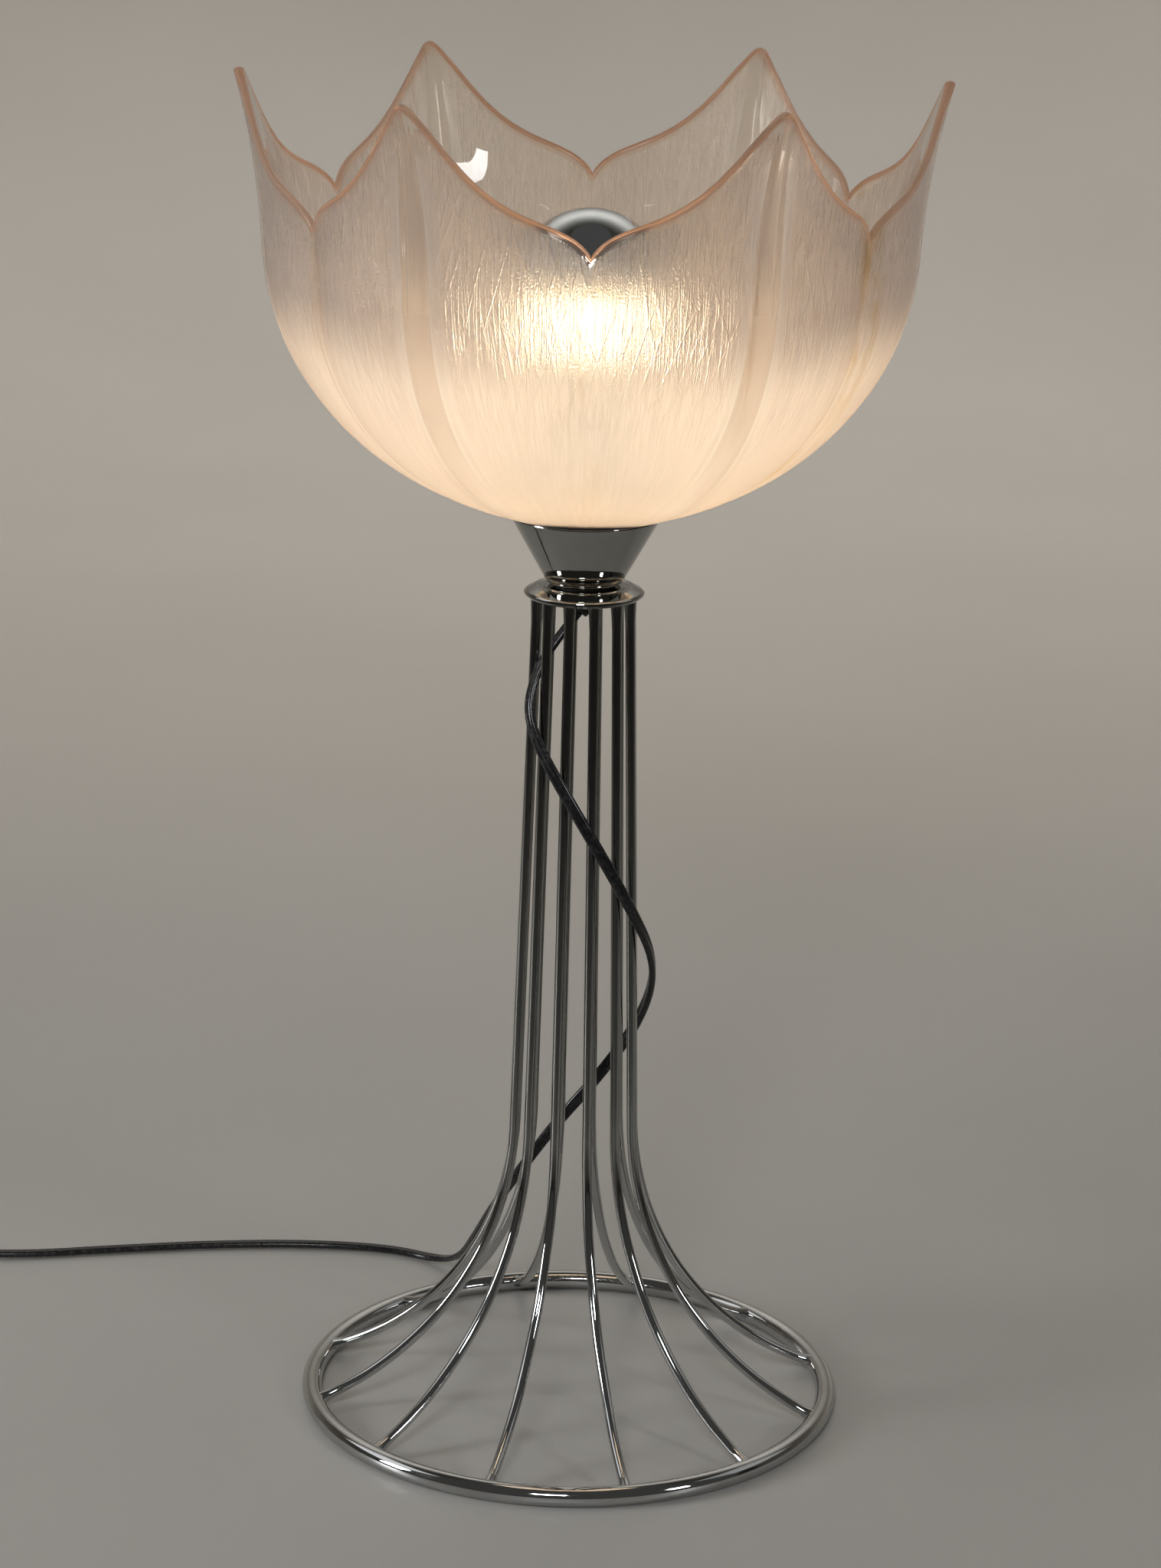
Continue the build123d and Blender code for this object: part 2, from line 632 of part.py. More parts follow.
# From the grommet, out between two wires, once round the column, over the ring and along the floor.
LEAD_POINTS = [
    (-exit_offset, -0.8, exit_height),
    (-11.0, -4.6, 320.5),
    (-18.2, -9.7, 309.0),
    (-21.4, -15.9, 295.5),
    (-16.4, -21.6, 281.5),
    (-5.0, -26.0, 262.5),
    (9.0, -26.0, 239.0),
    (21.0, -20.5, 216.0),
    (30.0, -7.0, 194.0),
    (30.8, 7.5, 174.0),
    (23.5, 22.0, 150.5),
    (10.0, 31.0, 127.0),
    (-8.0, 35.0, 103.5),
    (-25.0, 41.5, 76.0),
    (-34.0, 58.0, 56.0),
    (-41.0, 84.0, 33.0),
    (-47.5, 108.0, 13.0),
    (-58.0, 128.0, floor_line),
    (-80.0, 140.0, floor_line),
    (-117.0, 144.0, floor_line),
    (-160.0, 141.0, floor_line),
    (-205.0, 133.0, floor_line),
    (-238.0, 126.0, floor_line),
    (-263.0, 123.5, floor_line + 0.6),
    (SWITCH_FRONT + SWITCH_LEAD_IN, SWITCH_SIDE, SWITCH_ENTRY),
    (SWITCH_FRONT, SWITCH_SIDE, SWITCH_ENTRY),
]

# From the switch down to the floor and round to the coil.
LINK_POINTS = [
    (SWITCH_FRONT - SWITCH_LENGTH, SWITCH_SIDE, SWITCH_ENTRY),
    (SWITCH_FRONT - SWITCH_LENGTH - SWITCH_LEAD_OUT, SWITCH_SIDE, SWITCH_ENTRY),
    (SWITCH_FRONT - SWITCH_LENGTH - 21.0, SWITCH_SIDE - 6.0, floor_line + 1.2),
    (COIL_LEFT + 1.0, COIL_SIDE + COIL_APPROACH, floor_line),
    (COIL_LEFT, COIL_SIDE + COIL_RUN_IN, floor_line),
    (COIL_LEFT, COIL_SIDE, floor_line),
]

# From the top of the coil to the plug's strain relief.
TAIL_POINTS = [
    (COIL_LEFT, COIL_SIDE, floor_line + layer_rise),
    (COIL_LEFT, COIL_SIDE - COIL_RUN_OUT, floor_line + layer_rise),
    (PLUG_SIDE, COIL_SIDE - PLUG_APPROACH, PLUG_AXIS_HEIGHT),
    (PLUG_SIDE, PLUG_FRONT + PLUG_LENGTH + RELIEF_LENGTH, PLUG_AXIS_HEIGHT),
]


def tube(points):
    """A round tube along straight runs joined by arcs as large as the runs allow."""
    corners = [Vector(*point) for point in points]
    radii = []
    for before, here, after in zip(corners, corners[1:], corners[2:]):
        turn = radians((here - before).get_angle(after - here))
        run = min((here - before).length, (after - here).length)
        radii.append(CORNER_SHARE * run / tan(turn / 2))
    path = FilletPolyline(*corners, radius=radii)
    start = Plane(corners[0], z_dir=corners[1] - corners[0])
    solid = sweep(start * Circle(CORD_WIDTH / 2), path=path)
    print("tube", round(path.length, 1), "mm, radii", [round(radius) for radius in radii])
    expected = pi * CORD_WIDTH ** 2 / 4 * path.length
    print("volume over section times length", round(solid.volume / expected, 4))
    return solid


def coil_path():
    """Half turns that shrink at a steady rate, one climb to the upper layer, then half turns that grow."""
    step = (CORD_WIDTH + COIL_GAP) / 2
    edges = []
    here = Vector(COIL_LEFT, COIL_SIDE, floor_line)
    side = 1
    radius = COIL_RADIUS
    for half_turn in range(2 * COIL_HALF_TURNS):
        over = Vector(2 * radius * side, 0, 0)
        if half_turn == COIL_HALF_TURNS:
            over += Vector(0, 0, layer_rise)
            lean = layer_rise / 2 / radius
            slope = Vector(side, 0, lean)
            bow = Vector(0, -side * sqrt(radius ** 2 + layer_rise ** 2 / 4), 0)
            crest = here + over / 2 + bow
            edges.append(TangentArc(here, crest, tangent=(0, -side, 0)).edge())
            edges.append(TangentArc(crest, here + over, tangent=slope).edge())
        else:
            edges.append(ThreePointArc(here, here + over / 2 + Vector(0, -side * radius, 0), here + over).edge())
        here += over
        side = -side
        radius += -step if half_turn < COIL_HALF_TURNS else step
    return edges


def least_gap(edges):
    """The least clear space between the coil's turns, measured on points along it."""
    points = []
    along = 0.0
    for edge in edges:
        count = max(8, round(edge.length / 2.0))
        for k in range(count):
            points.append((along + edge.length * k / count, edge @ (k / count)))
        along += edge.length
    gap = COIL_RADIUS
    for index, (place, point) in enumerate(points):
        for other_place, other in points[index + 1:]:
            if other_place - place > 6 * CORD_WIDTH:
                gap = min(gap, (other - point).length - CORD_WIDTH)
    return gap


def cord_coil():
    """The put-away length of flex as one unbroken tube in two layers of neat loops."""
    edges = coil_path()
    start = Plane(edges[0] @ 0, z_dir=edges[0] % 0)
    path = Wire(edges)
    print("coil", round(path.length, 1), "mm, least gap", round(least_gap(edges), 2))
    return sweep(start * Circle(CORD_WIDTH / 2), path=path)


# Cord switch

def switch_block():
    """The closed outer shape of the switch, lying along X."""
    block = Box(SWITCH_LENGTH, SWITCH_WIDTH, SWITCH_HEIGHT)
    return fillet(block.edges().filter_by(Axis.Z), SWITCH_FILLET)


def switch_place():
    return Pos(SWITCH_FRONT - SWITCH_LENGTH / 2, SWITCH_SIDE, SWITCH_HEIGHT / 2)


def switch_hollow():
    """The space inside the switch, in which the rocker and its contacts sit."""
    length = SWITCH_LENGTH - 2 * SWITCH_WALL - 2 * SWITCH_SCREW_HEAD
    return Box(length, SWITCH_WIDTH - 2 * SWITCH_WALL, SWITCH_HEIGHT - 2 * SWITCH_WALL)


def switch_half(upper):
    """One half of the housing, cut at the joint line, with its screw holes."""
    cut = SWITCH_JOINT_HEIGHT - SWITCH_HEIGHT / 2
    side = 1 if upper else -1
    keep = Pos(0, 0, cut + side * SWITCH_HEIGHT) * Box(SWITCH_LENGTH * 2, SWITCH_WIDTH * 2, SWITCH_HEIGHT * 2)
    half = (switch_block() - switch_hollow()) & keep
    for place in screw_places():
        half -= place * screw_space()
    pin_bore = Cylinder(ROCKER_PIN_DIAMETER / 2, SWITCH_WIDTH - SWITCH_WALL)
    half -= Pos(0, 0, rocker_pivot()) * Rot(90, 0, 0) * pin_bore
    if upper:
        half -= rocker_window()
    return switch_place() * half


def rocker_window():
    """The opening in the cover, just clear of the rocker's round ends."""
    sill = SWITCH_HEIGHT / 2 - SWITCH_WALL - rocker_pivot()
    reach = sqrt(ROCKER_REACH ** 2 - sill ** 2) + ROCKER_GAP
    return Pos(0, 0, SWITCH_HEIGHT / 2) * Box(2 * reach, ROCKER_WIDTH + 2 * ROCKER_GAP, 2 * SWITCH_WALL)


def screw_places():
    """One screw at each end, on either side of the flex."""
    return [Pos(end * SWITCH_SCREW_SPACING / 2, end * SWITCH_SCREW_OFFSET, 0) for end in (-1, 1)]


def screw_space():
    """The room of one housing screw: its shank from below and its sunk head."""
    shank = Cylinder(SWITCH_SCREW_DIAMETER / 2, SWITCH_HEIGHT - 2 * SWITCH_WALL)
    head = Cylinder(SWITCH_SCREW_HEAD / 2, SWITCH_WALL * 2)
    return shank + Pos(0, 0, -SWITCH_HEIGHT / 2) * head


def switch_screws():
    """Two screws that close the housing from below, with slotted heads."""
    shank = Cylinder(SWITCH_SCREW_DIAMETER / 2, SWITCH_HEIGHT - 2 * SWITCH_WALL)
    head_height = SWITCH_WALL * 0.8
    head = Pos(0, 0, -SWITCH_HEIGHT / 2 + SWITCH_WALL - head_height / 2)
    screw = shank + head * Cylinder(SWITCH_SCREW_HEAD / 2, head_height)
    slot = Box(SWITCH_SCREW_HEAD * 2, DRIVER_SLOT, DRIVER_SLOT)
    screw -= Pos(0, 0, -SWITCH_HEIGHT / 2 + SWITCH_WALL - head_height) * slot
    return [switch_place() * place * screw for place in screw_places()]


def rocker_pivot():
    """The rocker pin's height over the middle of the switch."""
    return SWITCH_JOINT_HEIGHT - SWITCH_HEIGHT / 2


def switch_rocker():
    """The rocker in its on position: ends round its pin, and a dished top for the finger."""
    top = SWITCH_HEIGHT / 2 - rocker_pivot() + ROCKER_PROUD
    dish_radius = ROCKER_REACH * 3
    across = Rot(90, 0, 0)
    block = Pos(0, 0, top - ROCKER_HEIGHT / 2) * Box(2 * ROCKER_REACH, ROCKER_WIDTH, ROCKER_HEIGHT)
    ends = across * Cylinder(ROCKER_REACH, ROCKER_WIDTH)
    dish = Pos(0, 0, top + dish_radius - ROCKER_DISH) * across * Cylinder(dish_radius, ROCKER_WIDTH * 2)
    hub = across * Cylinder(ROCKER_PIN_DIAMETER, ROCKER_WIDTH)
    bore = across * Cylinder(ROCKER_PIN_DIAMETER / 2 + ROCKER_PIN_CLEARANCE, ROCKER_WIDTH * 2)
    rocker = (block & ends) + hub - dish - bore
    return switch_place() * Pos(0, 0, rocker_pivot()) * Rot(0, ROCKER_TILT, 0) * rocker


def rocker_pin():
    pin = Rot(90, 0, 0) * Cylinder(ROCKER_PIN_DIAMETER / 2, SWITCH_WIDTH - SWITCH_WALL)
    return switch_place() * Pos(0, 0, rocker_pivot()) * pin


# Plug

def plug_section(y, width, height):
    """A rounded outline across the plug, at one place along it."""
    plane = Plane((PLUG_SIDE, y, PLUG_AXIS_HEIGHT), x_dir=(1, 0, 0), z_dir=(0, -1, 0))
    return plane * RectangleRounded(width, height, min(PLUG_CORNER, height / 2.2))


def plug_body():
    """The flat plug: narrow at the flex and wide at its pins."""
    back = PLUG_FRONT + PLUG_LENGTH
    waist = PLUG_FRONT + PLUG_LENGTH * 0.45
    sections = [
        plug_section(back, PLUG_BACK_WIDTH, PLUG_BACK_HEIGHT),
        plug_section(waist, PLUG_FRONT_WIDTH * 0.86, PLUG_FRONT_HEIGHT),
        plug_section(PLUG_FRONT, PLUG_FRONT_WIDTH, PLUG_FRONT_HEIGHT),
    ]
    return loft(sections, ruled=True)


def plug_pins():
    """Two round pins with rounded ends."""
    pin = Cylinder(PIN_DIAMETER / 2, PIN_LENGTH)
    pin = fillet(pin.edges().sort_by(Axis.Z)[-1], PIN_DIAMETER * 0.3)
    middle = PLUG_FRONT - PIN_LENGTH / 2
    sides = (-PIN_SPACING / 2, PIN_SPACING / 2)
    return [Pos(PLUG_SIDE + side, middle, PLUG_AXIS_HEIGHT) * Rot(90, 0, 0) * pin for side in sides]


def plug_relief():
    """The tapered sleeve where the flex enters the plug."""
    cone = Cone(RELIEF_FRONT_DIAMETER / 2, RELIEF_BACK_DIAMETER / 2, RELIEF_LENGTH)
    middle = PLUG_FRONT + PLUG_LENGTH + RELIEF_LENGTH / 2
    return Pos(PLUG_SIDE, middle, PLUG_AXIS_HEIGHT) * Rot(-90, 0, 0) * cone


def lamp_parts():
    """Every sub-part by the name of its node."""
    ring = ring_torus()
    parts = {"base_ring": base_ring()}
    for number in range(ROD_COUNT):
        parts[f"rod_{number + 1:02d}"] = rod(ROD_TURN + 360.0 / ROD_COUNT * number, ring)
    parts.update({
        "collar_disc": collar_disc(),
        "lower_nut": hex_nut(DISC_HEIGHT - NUT_THICKNESS),
        "cup_washer": cup_washer(),
        "shade_cup": shade_cup(),
        "upper_nut": hex_nut(cup_bottom + CUP_WALL),
        "threaded_stem": threaded_stem(),
        "cord_grommet": cord_grommet(),
        "holder_cap": holder_cap(),
        "holder_sleeve": holder_sleeve(),
        "holder_insulator": holder_insulator(),
        "screw_shell": screw_shell(),
        "centre_contact": centre_contact(),
        "terminal_screws": terminal_screws(),
        "shade_gasket": shade_gasket(),
        "glass_shade": glass_shade(),
        "shade_washer": shade_washer(),
        "shade_ring": shade_ring(),
        "bulb_envelope": bulb_envelope(),
        "bulb_mirror": bulb_mirror(),
        "bulb_cap": bulb_cap(),
        "bulb_insulator": bulb_insulator(),
        "bulb_contact": bulb_contact(),
        "bulb_stem": bulb_stem(),
        "bulb_filament": bulb_filament(),
        "cord_lead": tube(LEAD_POINTS),
        "cord_link": tube(LINK_POINTS),
        "cord_coil": cord_coil(),
        "cord_tail": tube(TAIL_POINTS),
        "switch_base": switch_half(False),
        "switch_cover": switch_half(True),
        "switch_rocker": switch_rocker(),
        "rocker_pin": rocker_pin(),
        "switch_screws": switch_screws(),
        "plug_body": plug_body(),
        "plug_pins": plug_pins(),
        "plug_relief": plug_relief(),
    })
    return parts


os.makedirs("parts", exist_ok=True)
for name, shape in lamp_parts().items():
    solid = Compound(children=shape) if isinstance(shape, list) else shape
    export_step(solid, f"parts/{name}.step")
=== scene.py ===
"""A table lamp with a petalled pressed-glass bowl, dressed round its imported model.

Lengths are millimetres until a mesh is made, angles are degrees where they are named, the lamp's axis
is Z, the floor is Z 0 and the front faces -Y.
"""

import bmesh
import bpy
import numpy as np
from mathutils import Matrix, Vector

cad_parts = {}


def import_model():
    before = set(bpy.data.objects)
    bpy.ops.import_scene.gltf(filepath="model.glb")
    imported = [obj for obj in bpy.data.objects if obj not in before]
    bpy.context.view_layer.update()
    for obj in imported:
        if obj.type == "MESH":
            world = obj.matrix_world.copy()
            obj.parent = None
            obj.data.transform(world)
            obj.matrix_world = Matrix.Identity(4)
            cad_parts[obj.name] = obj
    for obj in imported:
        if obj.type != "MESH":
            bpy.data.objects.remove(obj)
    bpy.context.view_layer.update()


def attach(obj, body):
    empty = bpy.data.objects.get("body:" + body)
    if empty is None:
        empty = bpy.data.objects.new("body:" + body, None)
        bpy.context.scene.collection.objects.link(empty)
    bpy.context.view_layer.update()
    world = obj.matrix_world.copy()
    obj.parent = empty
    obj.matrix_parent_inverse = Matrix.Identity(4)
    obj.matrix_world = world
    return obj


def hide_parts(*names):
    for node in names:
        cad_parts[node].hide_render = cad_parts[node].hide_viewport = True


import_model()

MM = 0.001
UP = (0.0, 0.0, 1.0)

# Metres within which points are merged, and under which slivers are dropped
MERGE_DISTANCE = 2e-6
SLIVER_DISTANCE = 1e-7

# Camera, as solved from the ring foot, the column and the rim of the bowl
LENS = 90.29
SENSOR = 36.0
CAMERA_PLACE = (-0.254, -1496.46, 692.53)
CAMERA_PITCH = 16.079
CAMERA_YAW = 0.012
CAMERA_ROLL = 1.149
CAMERA_REACH = 50000.0

# Ring foot and column
RING_CENTRE = 106.0
RING_BAR = 8.0
FOOT_FLAT = 0.3
RING_HEIGHT = RING_BAR / 2 - FOOT_FLAT
ROD_COUNT = 12
ROD_RADIUS = 2.0
ROD_TURN = -17.0
ROD_TOP = (18.8, 337.6)
ROD_BEND = (24.6, 118.0)
WELD_RISE = 0.7
WELD_LENGTH = 3.0
TOP_WELD_RISE = 0.5
TOP_WELD_LENGTH = 1.6
SWAYS = ((0.10, 17.0, 2.1), (0.06, 6.3, 1.0))
SWAY_START = (150.0, 260.0)

# Stack from the collar disc to the glass
DISC_LOW = ROD_TOP[1]
DISC_RADIUS = 23.5
DISC_THICKNESS = 4.7
DISC_HIGH = DISC_LOW + DISC_THICKNESS
DISC_STEP = 0.7
WASHER_THICKNESS = 1.0
CUP_LOW = DISC_HIGH + WASHER_THICKNESS
CUP_HEIGHT = 26.9
CUP_HIGH = CUP_LOW + CUP_HEIGHT
CUP_WALL = 1.0
NUT_FLATS = 14.0
NUT_CORNERS = 9.0
NUT_THICKNESS = 3.0
RING_BEVEL = 0.15
CUP_WASHER_RADIUS = 11.5
GROMMET_RADIUS = 4.5
GROMMET_TAPER = 1.2
GROMMET_RIB = 0.25
GROMMET_RIBS = 5
STEM_RADIUS = 5.0
STEM_BORE = 3.5
STEM_LOW = DISC_LOW - NUT_THICKNESS - 0.6
STEM_THREAD = 0.28
STEM_PITCH = 1.0
STEM_HOLE = STEM_RADIUS + 0.1
HOLDER_LOW = CUP_LOW + CUP_WALL + NUT_THICKNESS
HOLDER_RIM = HOLDER_LOW + 15.2
SLEEVE_LOW = HOLDER_RIM + 1.5
SLEEVE_RADIUS = 19.6
SLEEVE_HIGH = SLEEVE_LOW + 33.0
SLEEVE_THREAD = 0.45
SLEEVE_WAVE = 0.42
SLEEVE_PITCH = 2.4
MOUTH_RADIUS = 17.5
MOUTH_HIGH = SLEEVE_HIGH + 12.3
SLEEVE_WALL = 2.2
PUCK_HIGH = HOLDER_RIM + 17.0
SHELL_HEIGHT = 24.0
CONTACT_HIGH = PUCK_HIGH + 3.0

# Glass bowl
GLASS_LOW = CUP_HIGH + 0.8
GLASS_FLOOR = GLASS_LOW + 6.2
GASKET_RADII = (24.45, 29.05)
GLASS_WASHER_RADIUS = 27.0
SHADE_RING_LOW = GLASS_FLOOR + WASHER_THICKNESS
SHADE_RING_HIGH = SHADE_RING_LOW + 8.0
SHADE_RING_RADIUS = 28.0
GRIPS = 24
GRIP_DEPTH = 0.9
PETALS = 6
PETAL_TURN = 360.0 / PETALS
BOWL_RADIUS = 123.5
BOWL_DEPTH = 105.0
BOWL_CENTRE = GLASS_LOW - 3.0 + BOWL_DEPTH
GLASS_WALL = 5.0
HOLE_RADIUS = 20.5
PETAL_FLARE = 11.5
FLARE_POWER = 2.5
FLARE_START = 32.0
TIP_HEIGHT = 539.5
NOTCH_DEPTH = 54.5
SHOULDER_RISE = 0.2
TIP_SPREAD = 0.37
TIP_SOFTNESS = 0.045
SEAM_DEPTH = 0.06
SEAM_LOW_SHARE = 0.35
RIB_HALF_WIDTH = 6.0
RIB_TIP_HALF_WIDTH = 3.6
RIB_RISE = 1.3
RIB_TAPER_START = 480.0
RIB_SHARE_LIMIT = 0.42
RIB_BEAD = 0.6
RIB_BEAD_SHARE = 0.12
# Width of the band along each bead where a highlight is painted
PAINTED_GLINT_SHARE = 0.08
SEAM_BEAD = 0.5
SEAM_BEAD_SHARE = 0.022
RIM_RADIUS = 1.4
RIM_TAPER = 45.0
RIM_GUESS = 500.0
RIM_STEPS = 6
LEAN_POWER = 14
NOTCH_FILL = 2.2
NOTCH_FILL_SHARE = 0.06
RIB_COLUMNS = 0.34
CROWDING = 0.24
PETAL_COLUMNS = 56
OUTER_ROWS = 110
CAP_ROWS = 9
INNER_ROWS = 64
MASKS = ("panel", "edge", "seam", "bead")
PANEL_EDGE = 0.03
PANEL_RIM = (1.0, 3.5)
EDGE_DEPTH = 0.8
STAIN_SHARES = (0.72, 0.99)
STAIN_LEAST = 0.12

# Bulb
BULB_RADIUS = 30.0
BULB_FOOT = CONTACT_HIGH + 0.3
PIP_HIGH = BULB_FOOT + 1.8
CAP_LOW = PIP_HIGH + 4.0
CAP_RADIUS = 13.15
CAP_HIGH = CAP_LOW + 21.0
BULB_CENTRE = CAP_HIGH + 49.4
BULB_WALL = 0.8
MIRROR_THICKNESS = 0.3
NECK_RADIUS = 13.4
NECK_TANGENT = 48.0
MOUNT_HIGH = CAP_HIGH + 41.0
FILAMENT_HIGH = MOUNT_HIGH + 6.0
FILAMENT_RADIUS = 12.0
FILAMENT_ARC = (-210, 30)
FILAMENT_COILS = 90
FILAMENT_POINTS = 1400
FILAMENT_WIRE = 0.09
COIL_RISE = 0.42
WIRE_LEAD = 0.35
WIRE_HOOK = 0.14
HOOK_ANGLES = (-170, -120, -60, -10)
# Heights where a glow is painted onto the bulb's glass, rising in and fading out
PAINTED_GLOW_STARTS = (CAP_HIGH + 19, CAP_HIGH + 32)
PAINTED_GLOW_ENDS = (CAP_HIGH + 36, CAP_HIGH + 47)
THREAD_PITCH = 3.62
THREAD_DEPTH = 0.45
THREAD_ROWS = 72

# Flex, switch and plug
FLEX_WIDTH = 4.8
FLEX_THICKNESS = 3.0
FLOOR_LINE = 2.4
COIL_RADIUS = 36.0
COIL_HALF_TURNS = 6
COIL_STEP = 2.7
COIL_LAYER = 5.3
COIL_LEFT = -389.0
COIL_SIDE = 38.0
COIL_POINTS = 8
SWITCH_FRONT = -300.0
SWITCH_LENGTH = 58.0
SWITCH_WIDTH = 18.0
SWITCH_HEIGHT = 14.0
SWITCH_JOINT = 7.5
SWITCH_WALL = 1.6
SWITCH_PLACE = (SWITCH_FRONT - SWITCH_LENGTH / 2, 123.0, 0.0)
ROCKER_RADIUS = 13.0
ROCKER_TILT = 8.0
ROCKER_RISE = 1.0
ROCKER_DEPTH = 7.0
ROCKER_DISH = 1.2
ROCKER_WIDTH = 9.0
PLUG_SIDE = -396.0
PLUG_FRONT = -61.0
PLUG_LENGTH = 36.0
PLUG_AXIS = 7.0
PIN_RADIUS = 2.0
PIN_LENGTH = 19.0
PIN_SPACING = 18.6
RELIEF_LENGTH = 22.0
RELIEF_RIBS = 6.5
PLUG_WIDTH = 35.0
PLUG_THICKNESS = 13.7
PLUG_ROWS = 36
PLUG_RIDGES = 9
SLEEVE_LENGTH = 10.0
UPRIGHT = ((1, 0, 0), (0, 1, 0), (0, 0, 1))
LYING = ((1, 0, 0), (0, 0, 1), (0, 1, 0))

LEAD_ROUTE = [
    (-1.9, -0.8, 331.6), (-11.0, -4.6, 320.5), (-18.2, -9.7, 309.0), (-21.4, -15.9, 295.5),
    (-16.4, -21.6, 281.5), (-5.0, -26.0, 262.5), (9.0, -26.0, 239.0), (21.0, -20.5, 216.0),
    (30.0, -7.0, 194.0), (30.8, 7.5, 174.0), (23.5, 22.0, 150.5), (10.0, 31.0, 127.0),
    (-8.0, 35.0, 103.5), (-25.0, 41.5, 76.0), (-34.0, 58.0, 56.0), (-41.0, 84.0, 33.0),
    (-47.5, 108.0, 13.0), (-58.0, 128.0, 2.4), (-80.0, 140.0, 2.4), (-117.0, 144.0, 2.4),
    (-160.0, 141.0, 2.4), (-205.0, 133.0, 2.4), (-238.0, 126.0, 2.4), (-263.0, 123.5, 3.0),
    (-282.0, 123.0, 7.0), (-300.0, 123.0, 7.0),
]
LINK_ROUTE = [
    (-358.0, 123.0, 7.0), (-367.0, 123.0, 7.0), (-379.0, 117.0, 3.6), (-388.0, 97.0, 2.4),
    (-389.0, 68.0, 2.4),
]
TAIL_ROUTE = [(-389.0, 25.0, 7.7), (-396.0, 11.0, 7.0), (-396.0, -3.0, 7.0)]

# Metals by noise scale and detail, colours at two stops, roughness from and to, and any relief
METALS = {
    "zinc_steel": ((200, 200, 1500), 4.0, [(0.3, (0.40, 0.40, 0.38)), (0.7, (0.56, 0.55, 0.52))],
                   (0.28, 0.42), (0.15, 0.0003)),
    "brass": ((160, 160, 160), 4.0, [(0.35, (0.72, 0.50, 0.20)), (0.7, (0.50, 0.33, 0.13))], (0.22, 0.40)),
    "cap_metal": ((220, 220, 220), 3.0, [(0.35, (0.66, 0.64, 0.60)), (0.7, (0.52, 0.49, 0.44))],
                  (0.20, 0.36)),
    "crown_mirror": ((140, 140, 140), 2.0, [(0.3, (0.74, 0.78, 0.80)), (0.7, (0.80, 0.83, 0.84))],
                     (0.03, 0.07), (0.02, 0.001)),
    "pin_metal": ((300, 300, 300), 3.0, [(0.4, (0.68, 0.66, 0.60)), (0.7, (0.60, 0.52, 0.36))],
                  (0.15, 0.32)),
}
# Moulded finishes by colour, roughness and strength of the grain
MOULDINGS = {
    "black_bakelite": ((0.018, 0.016, 0.015), 0.28, 0.05),
    "porcelain": ((0.75, 0.73, 0.68), 0.18, 0.03),
    "black_rubber": ((0.014, 0.014, 0.014), 0.6, 0.3),
    "black_plastic": ((0.016, 0.016, 0.017), 0.3, 0.12),
    "black_glass": ((0.01, 0.01, 0.012), 0.12, 0.02),
}

# Finishes: heights are metres up the lamp, shares run from clear to scattering
# Heights in metres over which the chrome is painted darker, a painted shade for the dim reflections up the
# column
PAINTED_DIM_HEIGHTS = (0.03, 0.13)
# Strength of the glow painted onto the bulb's glass
PAINTED_BULB_GLOW = 1.15
GLASS_IOR = 1.45
SPREAD_AROUND = 776.0
SPREAD_UP = 500.0
GLASS_TINT = (0.91, 0.81, 0.70, 1)
SLANT_TINT = (0.52, 0.39, 0.30, 1)
RIM_TINT = (0.74, 0.46, 0.31, 1)
STAIN_TINT = (0.60, 0.42, 0.20, 1)
MILKS = ((0.95, 0.86, 0.82, 1), (0.92, 0.82, 0.77, 1))
SLANT_MILK = (0.54, 0.42, 0.35, 1)
# Whiter scattering colour painted along the beads as a highlight
PAINTED_GLINT_MILK = (0.98, 0.96, 0.93, 1)
RIM_MILK = (0.72, 0.48, 0.34, 1)
ETCHED_SHADE = (0.55, 0.50, 0.46, 1)
SMOOTH_SHADE = (0.95, 0.93, 0.91, 1)
WORKED_HEIGHTS = (0.405, 0.460)
VEIL_HEIGHTS = (0.400, 0.500)
COVER_HEIGHTS = (0.385, 0.450)
# Heights in metres over which the beads' painted highlight fades in
PAINTED_GLINT_HEIGHTS = (0.385, 0.440)
LOW_VEIL = 0.76
HIGH_VEIL = 0.28
RIB_SHARE = 0.62
SCATTER_BACK = 0.42

# Studio
STUDIO_RADIUS = 3300.0
STUDIO_SWEEP = 1200.0
STUDIO_HIGH = 8500.0
STUDIO_COLUMNS = 96
FLOOR_ROWS = [(0, 0), (700, 0), (1400, 0)]
ROOM_COLOUR = (0.06, 0.059, 0.056, 1)
WARM_WHITE = (1.0, 0.98, 0.95)
COOL_WHITE = (0.96, 0.98, 1.0)
BULB_WATTS = 0.80
BULB_COLOUR = (1.0, 0.88, 0.64)
BULB_SOFTNESS = 5.0
LIGHT_RISE = 3.5

